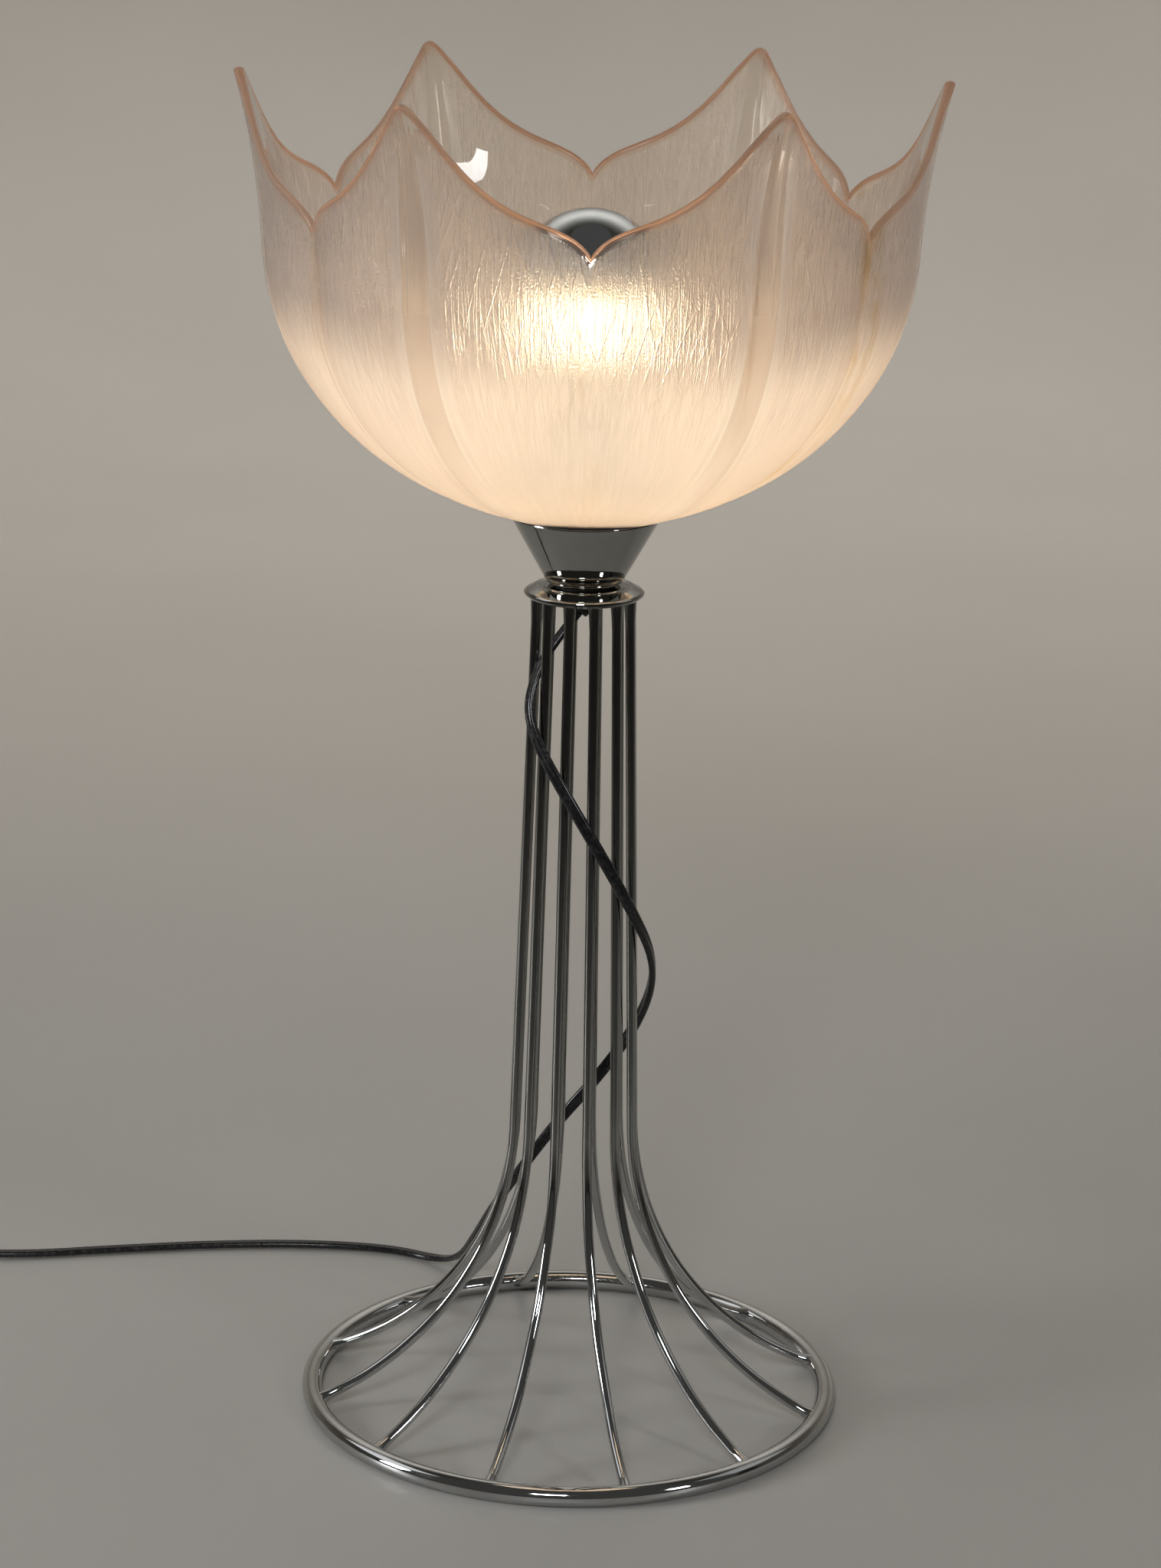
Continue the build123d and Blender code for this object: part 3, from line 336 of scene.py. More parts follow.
# Soft lamps by name, place, target, size, watts, colour, whether reflections show them, and spread
PANELS = [
    ("window_left", (-1300, -350, 520), (0, 0, 320), (260, 440), 3.3, COOL_WHITE, True, 110.0),
    ("window_right", (1150, -1050, 740), (0, 0, 300), (210, 330), 0.85, COOL_WHITE, True, 80.0),
    ("window_front", (-250, -1900, 1500), (0, 0, 200), (500, 260), 1.4, COOL_WHITE, True, 60.0),
    ("side_left", (-1500, 100, 1300), (0, 0, 200), (1100, 900), 1.3, COOL_WHITE, True, 120.0),
    ("side_right", (1500, 100, 1300), (0, 0, 200), (1100, 900), 0.5, COOL_WHITE, True, 120.0),
    ("ceiling", (-200, 500, 2300), (0, 250, 0), (1200, 900), 0.3, WARM_WHITE, False, 62.0),
    ("wall_low", (0, 1500, 2600), (0, 2200, 100), (3600, 700), 22.0, WARM_WHITE, False, 100.0),
    ("wall_high", (0, 500, 2400), (0, 3300, 3700), (3400, 500), 76.0, COOL_WHITE, False, 110.0),
]


# Arrays

def joined(*columns):
    """Points from arrays of their coordinates."""
    return np.stack(columns, axis=-1)


def unit(vectors):
    """Vectors scaled to length 1."""
    return vectors / np.linalg.norm(vectors, axis=-1, keepdims=True)


def smoothstep(value, low, high):
    """Rises from 0 at low to 1 at high with level ends."""
    share = np.clip((np.asarray(value, dtype=float) - low) / (high - low), 0, 1)
    return share * share * (3 - 2 * share)


def circle(radius, columns):
    """A closed ring of (x, y) points."""
    angle = np.linspace(0, 2 * np.pi, columns, endpoint=False)
    return joined(np.cos(angle), np.sin(angle)) * radius


def rounded(corners, steps=6):
    """A closed outline of (x, z, radius) corners, with each corner replaced by an arc of its radius."""
    outline = []
    count = len(corners)
    for index, (x, z, radius) in enumerate(corners):
        here = np.array([x, z], dtype=float)
        if radius <= 0:
            outline.append(here)
            continue
        before = unit(np.array(corners[index - 1][:2]) - here)
        after = unit(np.array(corners[(index + 1) % count][:2]) - here)
        half = np.arccos(np.clip(before @ after, -1, 1)) / 2
        centre = here + unit(before + after) * radius / np.sin(half)
        first = here + before * radius / np.tan(half) - centre
        last = here + after * radius / np.tan(half) - centre
        share = np.linspace(0, 1, steps + 1)[:, None]
        turn = np.pi - 2 * half
        arc = (np.sin((1 - share) * turn) * first + np.sin(share * turn) * last) / np.sin(turn)
        outline.extend(centre + arc)
    return np.array(outline)


def capped(rows):
    """Rows of points with the middle of the first and of the last row added as rows that close the ends."""
    ends = np.repeat(rows[[0, -1]].mean(axis=1, keepdims=True), rows.shape[1], axis=1)
    return np.concatenate([ends[:1], rows, ends[1:]])


def turned(outline, columns, ripple=None):
    """An outline of (radius, height) turned round Z; ripple adds to the radius by row height and angle."""
    outline = np.asarray(outline, dtype=float)
    angle = np.linspace(0, 2 * np.pi, columns, endpoint=False)[None, :]
    radius = outline[:, :1] + np.zeros_like(angle)
    height = outline[:, 1:] + np.zeros_like(angle)
    if ripple is not None:
        radius = radius + ripple(radius, height, angle)
    return joined(radius * np.cos(angle), radius * np.sin(angle), height)


def carried(path, section, up, scale=1.0):
    """A closed section carried along a path, with closed ends.

    Up, less its part along the path, is the section's y axis.
    """
    path = np.asarray(path, dtype=float)
    along = unit(np.gradient(path, axis=0))
    up = np.asarray(up, dtype=float) + np.zeros_like(path)
    up = unit(up - (up * along).sum(axis=1, keepdims=True) * along)
    side = np.cross(along, up)
    size = np.broadcast_to(scale, len(path))[:, None, None]
    ring = (side[:, None] * section[:, :1] + up[:, None] * section[:, 1:]) * size
    return capped(path[:, None] + ring)


def stacked(rows, place, across, along, rise):
    """Rounded rectangles of (height, length, width, corner) stacked along rise from a place."""
    layers = []
    for height, length, width, corner in rows:
        x = length / 2
        y = width / 2
        outline = rounded([(x, y, corner), (-x, y, corner), (-x, -y, corner), (x, -y, corner)])
        layer = outline[:, :1] * np.array(across) + outline[:, 1:] * np.array(along)
        layers.append(np.array(place) + layer + height * np.array(rise))
    return np.array(layers)


def rings(rows, x, z, columns, flatness=1.0):
    """Rings of (y, radius) about a line along Y, flattened by a share and closed at both ends."""
    grid = []
    for y, radius in rows:
        ring = circle(radius, columns)
        grid.append(joined(x + ring[:, 0], np.full(columns, y), z + ring[:, 1] * flatness))
    return capped(np.array(grid))


def thread(core, depth, pitch):
    """A ripple for the rows at a core radius: a cosine that climbs one pitch a turn."""
    def ripple(radius, height, angle):
        wave = depth * np.cos(2 * np.pi * height / pitch - angle)
        return np.where(np.abs(radius - core) < 0.01, wave, 0.0)
    return ripple


# Meshes

def quads(rows, columns, closed):
    """Four-sided faces between neighbours on a grid whose columns go round; closed rows go round too."""
    down = np.arange(rows if closed else rows - 1)
    down, along = np.meshgrid(down, np.arange(columns), indexing="ij")
    next_down = (down + 1) % rows
    next_along = (along + 1) % columns
    corners = joined(down * columns + along, down * columns + next_along,
                     next_down * columns + next_along, next_down * columns + along)
    return corners.reshape(-1, 4)


def bare_mesh(name, points, faces):
    """A mesh from an array of points in millimetres and an array of four-sided faces."""
    mesh = bpy.data.meshes.new(name)
    mesh.vertices.add(len(points))
    mesh.vertices.foreach_set("co", (np.asarray(points, dtype=float) * MM).ravel())
    mesh.loops.add(faces.size)
    mesh.loops.foreach_set("vertex_index", faces.ravel().astype(np.int32))
    mesh.polygons.add(len(faces))
    mesh.polygons.foreach_set("loop_start", np.arange(len(faces), dtype=np.int32) * 4)
    mesh.update(calc_edges=True)
    return mesh


def close_up(mesh, sharp=None):
    """Merges doubled points at seams and poles and turns faces outwards; with an angle it also drops
    slivers and keeps only the corners over that angle sharp."""
    work = bmesh.new()
    work.from_mesh(mesh)
    bmesh.ops.remove_doubles(work, verts=work.verts, dist=MERGE_DISTANCE)
    if sharp is not None:
        bmesh.ops.dissolve_degenerate(work, edges=work.edges, dist=SLIVER_DISTANCE)
    bmesh.ops.recalc_face_normals(work, faces=work.faces)
    if sharp is not None:
        limit = float(np.radians(sharp))
        for face in work.faces:
            face.smooth = True
        for edge in work.edges:
            edge.smooth = edge.calc_face_angle(0.0) < limit
    work.to_mesh(mesh)
    work.free()


def placed(name, data):
    """A new object in the scene."""
    thing = bpy.data.objects.new(name, data)
    bpy.context.scene.collection.objects.link(thing)
    return thing


def dressed(name, mesh, finish, nodes, body="stand"):
    """Puts a finished mesh in the scene, gives it its finish, ties it to its body, and hides the imported
    nodes that it replaces.
    """
    thing = placed(name, mesh)
    mesh.materials.append(finish)
    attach(thing, body)
    if nodes:
        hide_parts(*nodes)
    return thing


def piece(name, nodes, grids, finish, closed=False, sharp=40.0, body="stand"):
    """One object from one or more grids of points."""
    points = []
    faces = []
    start = 0
    for grid in grids:
        rows, columns = grid.shape[:2]
        points.append(grid.reshape(-1, 3))
        faces.append(quads(rows, columns, closed) + start)
        start += rows * columns
    mesh = bare_mesh(name, np.concatenate(points), np.concatenate(faces))
    close_up(mesh, sharp)
    return dressed(name, mesh, finish, nodes, body)


def lathe(name, node, outline, finish, columns=96, ripple=None, sharp=40.0, body="stand"):
    """One object from one closed outline turned round the lamp's axis."""
    piece(name, [node], [turned(outline, columns, ripple)], finish, True, sharp, body)


# Materials

class Finish:
    """A material that is built node by node.

    A socket that is given as a value is linked. Apart from add, which gives back the node, and finished,
    which gives back the material, each method gives back a socket.
    """

    def __init__(self, name, slot=None):
        self.material = bpy.data.materials.new(name)
        self.material["slot"] = slot or name
        self.material.use_nodes = True
        self.tree = self.material.node_tree
        self.tree.nodes.clear()

    def add(self, kind, inputs=None, **settings):
        node = self.tree.nodes.new("ShaderNode" + kind)
        for key, value in settings.items():
            setattr(node, key, value)
        for key, value in (inputs or {}).items():
            if isinstance(value, bpy.types.NodeSocket):
                self.tree.links.new(value, node.inputs[key])
            else:
                node.inputs[key].default_value = value
        return node

    def place(self):
        return self.add("TexCoord").outputs["Object"]

    def along(self, axis):
        return self.add("SeparateXYZ", {"Vector": self.place()}).outputs[axis]

    def attribute(self, name):
        return self.add("Attribute", attribute_name=name).outputs["Fac"]

    def stretch(self, vector, scale, rotation=(0, 0, 0)):
        inputs = {"Vector": vector, "Scale": scale, "Rotation": rotation}
        return self.add("Mapping", inputs).outputs["Vector"]

    def noise(self, vector, scale, detail=3.0, roughness=0.5):
        inputs = {"Vector": vector, "Scale": scale, "Detail": detail, "Roughness": roughness}
        return self.add("TexNoise", inputs).outputs["Fac"]

    def math(self, operation, first, second=0.0, third=0.0, clamp=False):
        inputs = {0: first, 1: second, 2: third}
        return self.add("Math", inputs, operation=operation, use_clamp=clamp).outputs[0]

    def between(self, value, low, high, start=0.0, end=1.0):
        inputs = {"Value": value, "From Min": low, "From Max": high, "To Min": start, "To Max": end}
        return self.add("MapRange", inputs, interpolation_type="SMOOTHSTEP").outputs[0]

    def blend(self, share, first, second):
        return self.add("Mix", {0: share, 6: first, 7: second}, data_type="RGBA").outputs[2]

    def mix(self, share, first, second):
        return self.add("MixShader", {0: share, 1: first, 2: second}).outputs[0]

    def ramp(self, value, stops):
        node = self.add("ValToRGB", {"Fac": value})
        for element, (position, colour) in zip(node.color_ramp.elements, stops):
            element.position = position
            element.color = (*colour, 1.0)
        return node.outputs["Color"]

    def bump(self, height, strength, distance):
        inputs = {"Height": height, "Strength": strength, "Distance": distance}
        return self.add("Bump", inputs).outputs["Normal"]

    def principled(self, inputs):
        return self.add("BsdfPrincipled", inputs).outputs[0]

    def finished(self, shader):
        self.add("OutputMaterial", {"Surface": shader})
        return self.material


def chrome_plate():
    """Polished plate: clear reflections, faint smears, a ripple, and painted shade: its colour darkens above
    the foot, standing in for the darker reflections up the column.
    """
    finish = Finish("chrome_plate")
    place = finish.place()
    smear = finish.noise(finish.stretch(place, (60, 60, 25)), 1.0, 4.0)
    # Painted shade: the plate is lighter low down and darker up the column, to match the reflections it
    # shows
    painted_dim_plate = finish.ramp(smear, [(0.35, (0.39, 0.39, 0.37)), (0.75, (0.33, 0.33, 0.31))])
    painted_bright_plate = finish.ramp(smear, [(0.35, (0.56, 0.565, 0.56)), (0.75, (0.48, 0.485, 0.48))])
    return finish.finished(finish.principled({
        "Base Color": finish.blend(finish.between(finish.along("Z"), *PAINTED_DIM_HEIGHTS), painted_bright_plate, painted_dim_plate),
        "Metallic": 1.0,
        "Roughness": finish.between(smear, 0.45, 0.75, 0.035, 0.13),
        "Normal": finish.bump(finish.noise(place, 90.0, 2.0), 0.05, 0.001)}))


def metal(name, scale, detail, stops, rough, relief=None):
    """Worn metal: one noise gives its colour, its roughness and any relief."""
    finish = Finish(name)
    grain = finish.noise(finish.stretch(finish.place(), scale), 1.0, detail)
    inputs = {"Base Color": finish.ramp(grain, stops), "Metallic": 1.0,
              "Roughness": finish.between(grain, 0.3, 0.7, *rough)}
    if relief:
        inputs["Normal"] = finish.bump(grain, *relief)
    return finish.finished(finish.principled(inputs))


def moulded(name, colour, rough, grain):
    """A moulded finish: one body colour with slight clouds, and a fine grain that softens its gloss."""
    finish = Finish(name)
    place = finish.place()
    cloud = finish.noise(place, 60.0, 3.0)
    dark = tuple(channel * 0.8 for channel in colour)
    light = tuple(min(1.0, channel * 1.15) for channel in colour)
    return finish.finished(finish.principled({
        "Base Color": finish.ramp(cloud, [(0.3, dark), (0.7, light)]),
        "Roughness": finish.between(cloud, 0.3, 0.7, rough * 0.85, rough * 1.2),
        "Specular IOR Level": 0.5,
        "Normal": finish.bump(finish.noise(place, 1800.0, 2.0), grain, 0.0002)}))


def black_flex():
    """Glossy black vinyl with shallow waves left by years of being wound up."""
    finish = Finish("black_flex")
    place = finish.place()
    dust = finish.noise(place, 500.0, 4.0)
    return finish.finished(finish.principled({
        "Base Color": finish.ramp(dust, [(0.45, (0.010, 0.010, 0.011)), (0.8, (0.028, 0.027, 0.026))]),
        "Roughness": finish.between(dust, 0.4, 0.8, 0.2, 0.36),
        "Specular IOR Level": 0.35, "Coat Weight": 0.1, "Coat Roughness": 0.1,
        "Normal": finish.bump(finish.noise(place, 70.0, 2.0), 0.03, 0.001)}))


def glowing_wire():
    """White-hot tungsten."""
    finish = Finish("tungsten")
    heat = finish.noise(finish.place(), 300.0, 2.0)
    return finish.finished(finish.principled({
        "Base Color": (0.5, 0.35, 0.2, 1), "Roughness": 0.5,
        "Emission Color": finish.ramp(heat, [(0.3, (1.0, 0.72, 0.38)), (0.7, (1.0, 0.82, 0.52))]),
        "Emission Strength": 12.0}))


def bulb_glass():
    """Thin clear glass: what is behind shows unbent, with gloss by angle and a painted glow: the glass
    itself emits in a band low on the globe, standing in for the wire's glare.
    """
    finish = Finish("bulb_glass")
    height = finish.along("Z")
    seen = finish.add("BsdfTransparent", {"Color": (0.96, 0.965, 0.96, 1)}).outputs[0]
    gloss = finish.add("BsdfGlossy", {"Color": (1, 1, 1, 1), "Roughness": 0.03}).outputs[0]
    shell = finish.mix(finish.add("Fresnel", {"IOR": GLASS_IOR}).outputs[0], seen, gloss)
    # Painted glow: the glass emits in a band below the globe's middle, though only the wire gives light
    above = finish.between(height, PAINTED_GLOW_STARTS[0] * MM, PAINTED_GLOW_STARTS[1] * MM, 0.0, PAINTED_BULB_GLOW)
    below = finish.between(height, PAINTED_GLOW_ENDS[0] * MM, PAINTED_GLOW_ENDS[1] * MM, 1.0, 0.0)
    near = finish.math("MULTIPLY", above, below)
    glow = finish.add("Emission", {"Color": (1.0, 0.88, 0.66, 1), "Strength": near}).outputs[0]
    return finish.finished(finish.add("AddShader", {0: shell, 1: glow}).outputs[0])


def scratches(finish, spread, angle, across, along):
    """Long thin lines at an angle: the level lines of a noise that is drawn out along them."""
    turned_flow = finish.stretch(spread, (1, 1, 1), (0, 0, angle))
    field = finish.noise(finish.stretch(turned_flow, (across, along, 1)), 1.0, 1.0)
    off_line = finish.math("ABSOLUTE", finish.math("SUBTRACT", field, 0.5))
    return finish.between(off_line, 0.004, 0.045, 1.0, 0.0)


def etching(finish, flow):
    """The worked surface of a petal as heights, and the depth of its grooves.

    Upright combed lines and crossed scratches are taken off a fine grain.
    """
    spread = finish.stretch(flow, (SPREAD_AROUND, SPREAD_UP, 1))
    grain = finish.noise(finish.stretch(spread, (1.15, 0.05, 1)), 1.0, 3.0, 0.6)
    grit = finish.noise(finish.stretch(spread, (1.9, 1.1, 1)), 1.0, 2.0)
    combed = finish.math("MAXIMUM", scratches(finish, spread, 0.015, 0.30, 0.012),
                         scratches(finish, spread, -0.03, 0.46, 0.020))
    crossed = finish.math("MAXIMUM", scratches(finish, spread, 0.30, 0.15, 0.010),
                          scratches(finish, spread, -0.27, 0.12, 0.012))
    relief = finish.math("MULTIPLY", grain, 0.25)
    for part, share in ((grit, 0.70), (combed, -0.30), (crossed, -0.35)):
        relief = finish.math("MULTIPLY_ADD", part, share, relief)
    return relief, finish.math("MAXIMUM", combed, finish.math("MULTIPLY", crossed, 0.6))


def etched_surface(finish, flow, edge):
    """The outside's normal, roughness, scattering share and a painted highlight along the ribs' beads.

    It scatters most low down, less on the ribs and in the grooves, and more on the rim, and more again low
    down along the beads as a painted highlight.
    """
    panel = finish.attribute("panel")
    height = finish.along("Z")
    relief, groove = etching(finish, flow)
    worked = finish.math("MULTIPLY", panel, finish.between(height, *WORKED_HEIGHTS, 0.30, 1.0))
    normal = finish.bump(finish.math("MULTIPLY", relief, worked), 0.9, 0.0004)
    rough = finish.between(panel, 0.0, 1.0, 0.04, 0.26)
    covered = finish.math("MAXIMUM", panel, finish.between(height, *COVER_HEIGHTS, 0.75, 0.0))
    veil = finish.between(height, *VEIL_HEIGHTS, LOW_VEIL, HIGH_VEIL)
    veil = finish.math("MULTIPLY", veil, finish.between(covered, 0.0, 1.0, RIB_SHARE, 1.0))
    groove = finish.math("MULTIPLY", groove, worked)
    veil = finish.math("MULTIPLY", veil, finish.between(groove, 0.0, 1.0, 1.04, 0.84))
    veil = finish.math("MULTIPLY_ADD", edge, 0.25, veil)
    # Painted highlight: low down along the beads the scattering share is raised
    shine = finish.between(height, *PAINTED_GLINT_HEIGHTS, 0.0, 0.55)
    bead = finish.math("MULTIPLY", finish.attribute("bead"), shine)
    return normal, rough, finish.math("MULTIPLY_ADD", bead, 0.40, veil, True), bead


def petal_glass(name, etched):
    """Pressed glass, faintly rose.

    The outside is combed and etched between clear ribs, and scatters about half of the light, so the
    bulb inside lights it to cream. The inside is smooth. Rays from lamps pass both.
    """
    finish = Finish(name, "shade_glass")
    flow = finish.add("UVMap", uv_map="flow").outputs["UV"]
    edge = finish.attribute("edge")
    drift = finish.noise(finish.stretch(flow, (9, 4, 1)), 1.0, 3.0)
    stain = finish.noise(finish.stretch(flow, (30, 8, 1)), 1.0, 4.0, 0.6)
    stain = finish.math("MULTIPLY", finish.between(stain, 0.46, 0.60), finish.attribute("seam"))
    slant = finish.math("POWER", finish.add("LayerWeight", {"Blend": 0.5}).outputs["Facing"], 2.0)
    tint = finish.blend(slant, GLASS_TINT, SLANT_TINT)
    tint = finish.blend(edge, tint, RIM_TINT)
    tint = finish.blend(stain, tint, STAIN_TINT)
    milk = finish.blend(finish.between(drift, 0.3, 0.7), *MILKS)
    milk = finish.blend(slant, milk, SLANT_MILK)
    milk = finish.blend(stain, milk, STAIN_TINT)
    if etched:
        normal, rough, veil, bead = etched_surface(finish, flow, edge)
        # Painted highlight: the beads' scattering colour is whitened
        milk = finish.blend(bead, milk, PAINTED_GLINT_MILK)
    else:
        normal = finish.bump(drift, 0.10, 0.002)
        rough = finish.between(drift, 0.3, 0.7, 0.01, 0.03)
        veil = rough
    milk = finish.blend(edge, milk, RIM_MILK)
    clear = finish.principled({"Base Color": tint, "Roughness": rough, "IOR": GLASS_IOR,
                               "Transmission Weight": 1.0, "Normal": normal})
    behind = finish.add("BsdfTranslucent", {"Color": milk, "Normal": normal}).outputs[0]
    before = finish.principled({"Base Color": milk, "Roughness": 0.25, "IOR": GLASS_IOR, "Normal": normal})
    glass = finish.mix(veil, clear, finish.mix(SCATTER_BACK, behind, before))
    lamps = finish.add("BsdfTransparent", {"Color": ETCHED_SHADE if etched else SMOOTH_SHADE}).outputs[0]
    return finish.finished(finish.mix(finish.add("LightPath").outputs["Is Shadow Ray"], glass, lamps))


# Glass bowl

def bowl_profile(height, wall=0.0):
    """Radius by height: a half ellipse below the centre's height, and a flare that grows as a power."""
    drop = np.clip((BOWL_CENTRE - height) / (BOWL_DEPTH - wall), 0, 1)
    climb = np.clip(height - (BOWL_CENTRE - FLARE_START), 0, None) / (TIP_HEIGHT - BOWL_CENTRE + FLARE_START)
    return (BOWL_RADIUS - wall) * np.sqrt(1 - drop ** 2) + PETAL_FLARE * climb ** FLARE_POWER


def rim_line(share):
    """Rim height from a petal's tip at share 0 to its notch at share 1.

    A soft exponential spike stands on a shoulder that falls by a power, and the notch is filled a little.
    """
    share = np.abs(share)
    soft = np.sqrt(share ** 2 + TIP_SOFTNESS ** 2)
    spike = np.exp(-((soft / TIP_SPREAD) ** 1.3) + (TIP_SOFTNESS / TIP_SPREAD) ** 1.3)
    shoulder = (1 - np.clip(share, 0, 1) ** 9) ** 0.8
    line = TIP_HEIGHT - NOTCH_DEPTH * (1 - (SHOULDER_RISE + (1 - SHOULDER_RISE) * spike) * shoulder)
    return line + NOTCH_FILL * np.exp(-np.abs(1 - share) / NOTCH_FILL_SHARE)


def rib_half_share(height):
    """Half the rib's width as a share of the way to the seam; the rib narrows towards the tip."""
    taper = smoothstep(height, RIB_TAPER_START, TIP_HEIGHT)
    width = RIB_HALF_WIDTH + (RIB_TIP_HALF_WIDTH - RIB_HALF_WIDTH) * taper
    return np.minimum(width / bowl_profile(height) / (np.pi / PETALS), RIB_SHARE_LIMIT)


def across_rib(share, height):
    """Share of the way from the rib's middle, 0, to its edge, 1, and beyond."""
    return np.abs(share) / rib_half_share(height)


def petal_share(place, height):
    """Share of the way to the seam by column place: the middle columns carry the rib, and the rest crowd
    towards the seam by a sine."""
    rib = rib_half_share(height)
    size = np.abs(place)
    inside = size / RIB_COLUMNS * rib
    beyond = np.clip((size - RIB_COLUMNS) / (1 - RIB_COLUMNS), 0, 1)
    outside = rib + (beyond + CROWDING * np.sin(np.pi * beyond)) * (1 - rib)
    return np.sign(place) * np.where(size < RIB_COLUMNS, inside, outside)


def bowl_radius(share, height, wall=0.0, rib=True):
    """Radius of the bowl's wall: the profile, drawn in at the seams, with a low arch for the rib, a
    bell-shaped bead along each of its edges and one down the seam."""
    rise = np.clip((height - GLASS_LOW) / (BOWL_CENTRE - GLASS_LOW), 0, 1)
    deep = SEAM_DEPTH * (SEAM_LOW_SHARE + (1 - SEAM_LOW_SHARE) * rise)
    radius = bowl_profile(height, wall) * (1 - deep * share ** 2)
    if rib:
        across = across_rib(share, height)
        radius = radius + RIB_RISE * (1 - np.clip(across, 0, 1) ** 3)
        radius = radius + RIB_BEAD * np.exp(-((across - 1) / RIB_BEAD_SHARE) ** 2)
        radius = radius + SEAM_BEAD * np.exp(-((1 - np.abs(share)) / SEAM_BEAD_SHARE) ** 2)
    return radius


def petal_angle(share, middle):
    """Angle from the front, in radians, of a share of the way from a petal's middle to its seam."""
    return np.radians(middle + share * PETAL_TURN / 2)


def around(share, middle, height, radius):
    """Points at a share of a petal, by height and radius."""
    angle = petal_angle(share, middle)
    return joined(radius * np.sin(angle), -radius * np.cos(angle), height)


def at_rim(place):
    """Each column's share and height at the foot of the rounded rim, and the way square to the rim there,
    as a lean round the bowl and a lift."""
    share = petal_share(place, np.full_like(place, RIM_GUESS))
    for _ in range(RIM_STEPS):
        share = petal_share(place, rim_line(share))
    rim = rim_line(share)
    reach = np.pi / PETALS * bowl_profile(rim)
    step = 1e-3
    slope = (rim_line(share + step) - rim_line(share - step)) / (2 * step) / reach
    slope = np.where(np.abs(share) > 1 - 2 * step, 0.0, slope)
    lift = 1 / np.sqrt(1 + slope ** 2)
    lean = -slope * lift
    return share - lean * RIM_RADIUS / reach, rim - lift * RIM_RADIUS, lean, lift


def wall_rows(place, climb, low, rim_share, shoulder):
    """Shares and heights of a wall's rows, whose columns lean over to their places at the rim."""
    height = low + (shoulder - low) * climb
    bend = (rim_share - petal_share(place, shoulder)) * climb ** LEAN_POWER
    return petal_share(place, height) + bend, height


def at_hole(row):
    """A row of points moved in, level, to the edge of the hole."""
    row = row.copy()
    row[..., :2] *= HOLE_RADIUS / np.linalg.norm(row[..., :2], axis=-1, keepdims=True)
    return row


def all_rows(outer, cap, inner):
    """A value for every row of a petal: at the hole, up the outside, over the rim, and down the inside."""
    return np.concatenate([outer[:1], outer, np.repeat(cap[None], CAP_ROWS, axis=0), inner, inner[-1:]])


def petal_masks(share, height, to_rim, middle):
    """What the finish reads: worked panels, the rim, stained seams at the right, and bands along the ribs'
    beads where a highlight is painted.
    """
    stained = np.clip(np.sin(petal_angle(share, middle)), STAIN_LEAST, 1)
    beside_rib = np.abs(share) - rib_half_share(height)
    return {
        "panel": smoothstep(beside_rib, 0.0, PANEL_EDGE) * smoothstep(to_rim, *PANEL_RIM),
        "edge": 1 - smoothstep(to_rim, 0.0, EDGE_DEPTH),
        "seam": smoothstep(np.abs(share), *STAIN_SHARES) * stained,
        "bead": np.exp(-((across_rib(share, height) - 1) / PAINTED_GLINT_SHARE) ** 2)}


def petal_rows(place, middle, rim_share, shoulder, lean, lift):
    """One petal's columns of the bowl, with the masks and the flow that its finish reads.

    Rows crowd by a power towards the foot, the wall slims towards the rim by a smooth step, and the rim
    is a half turn from the outer wall's last row to the inner one's.
    """
    climb = np.linspace(0, 1, OUTER_ROWS)[:, None]
    climb = climb ** 1.6 * (1.6 - 0.6 * climb)
    fall = np.linspace(1, 0, INNER_ROWS)[:, None] ** 1.7
    share, height = wall_rows(place, climb, GLASS_LOW, rim_share, shoulder)
    inner_share, inner_height = wall_rows(place, fall, GLASS_FLOOR, rim_share, shoulder)
    slim = 2 * RIM_RADIUS + (GLASS_WALL - 2 * RIM_RADIUS) * smoothstep(shoulder - inner_height, 0, RIM_TAPER)
    inner_radius = bowl_radius(inner_share, inner_height, slim, rib=False)
    outside = around(share, middle, height, bowl_radius(share, height))
    inside = around(inner_share, middle, inner_height, inner_radius)
    turn = np.linspace(0, np.pi, CAP_ROWS + 2)[1:-1, None, None]
    angle = petal_angle(rim_share, middle)
    way = joined(np.cos(angle) * lean, np.sin(angle) * lean, lift)
    cap = (outside[-1] + inside[0]) / 2 + (outside[-1] - inside[0]) / 2 * np.cos(turn)
    cap = cap + way * RIM_RADIUS * np.sin(turn)
    points = np.concatenate([at_hole(outside[:1]), outside, cap, inside, at_hole(inside[-1:])])
    whole_share = all_rows(share, share[-1], inner_share)
    to_rim = all_rows(shoulder - height, np.zeros(len(place)), shoulder - inner_height)
    flow = joined((middle + whole_share * PETAL_TURN / 2) / 360.0, points[..., 2] / SPREAD_UP)
    return {"points": points, "flow": flow, **petal_masks(whole_share, points[..., 2], to_rim, middle)}


def bowl_grid():
    """The whole bowl as one closed grid: up the outside, over the rounded rim, and down the inside.

    Columns run round the bowl and lean in towards each tip, square to the rim, so that its edge is a
    half round of even width.
    """
    place = (np.arange(PETAL_COLUMNS) + 0.5) / PETAL_COLUMNS * 2 - 1
    place = np.concatenate([[-1.0], place])
    rim = at_rim(place)
    petals = [petal_rows(place, PETAL_TURN * (number + 0.5), *rim) for number in range(PETALS)]
    return {key: np.concatenate([petal[key] for petal in petals], axis=1) for key in petals[0]}


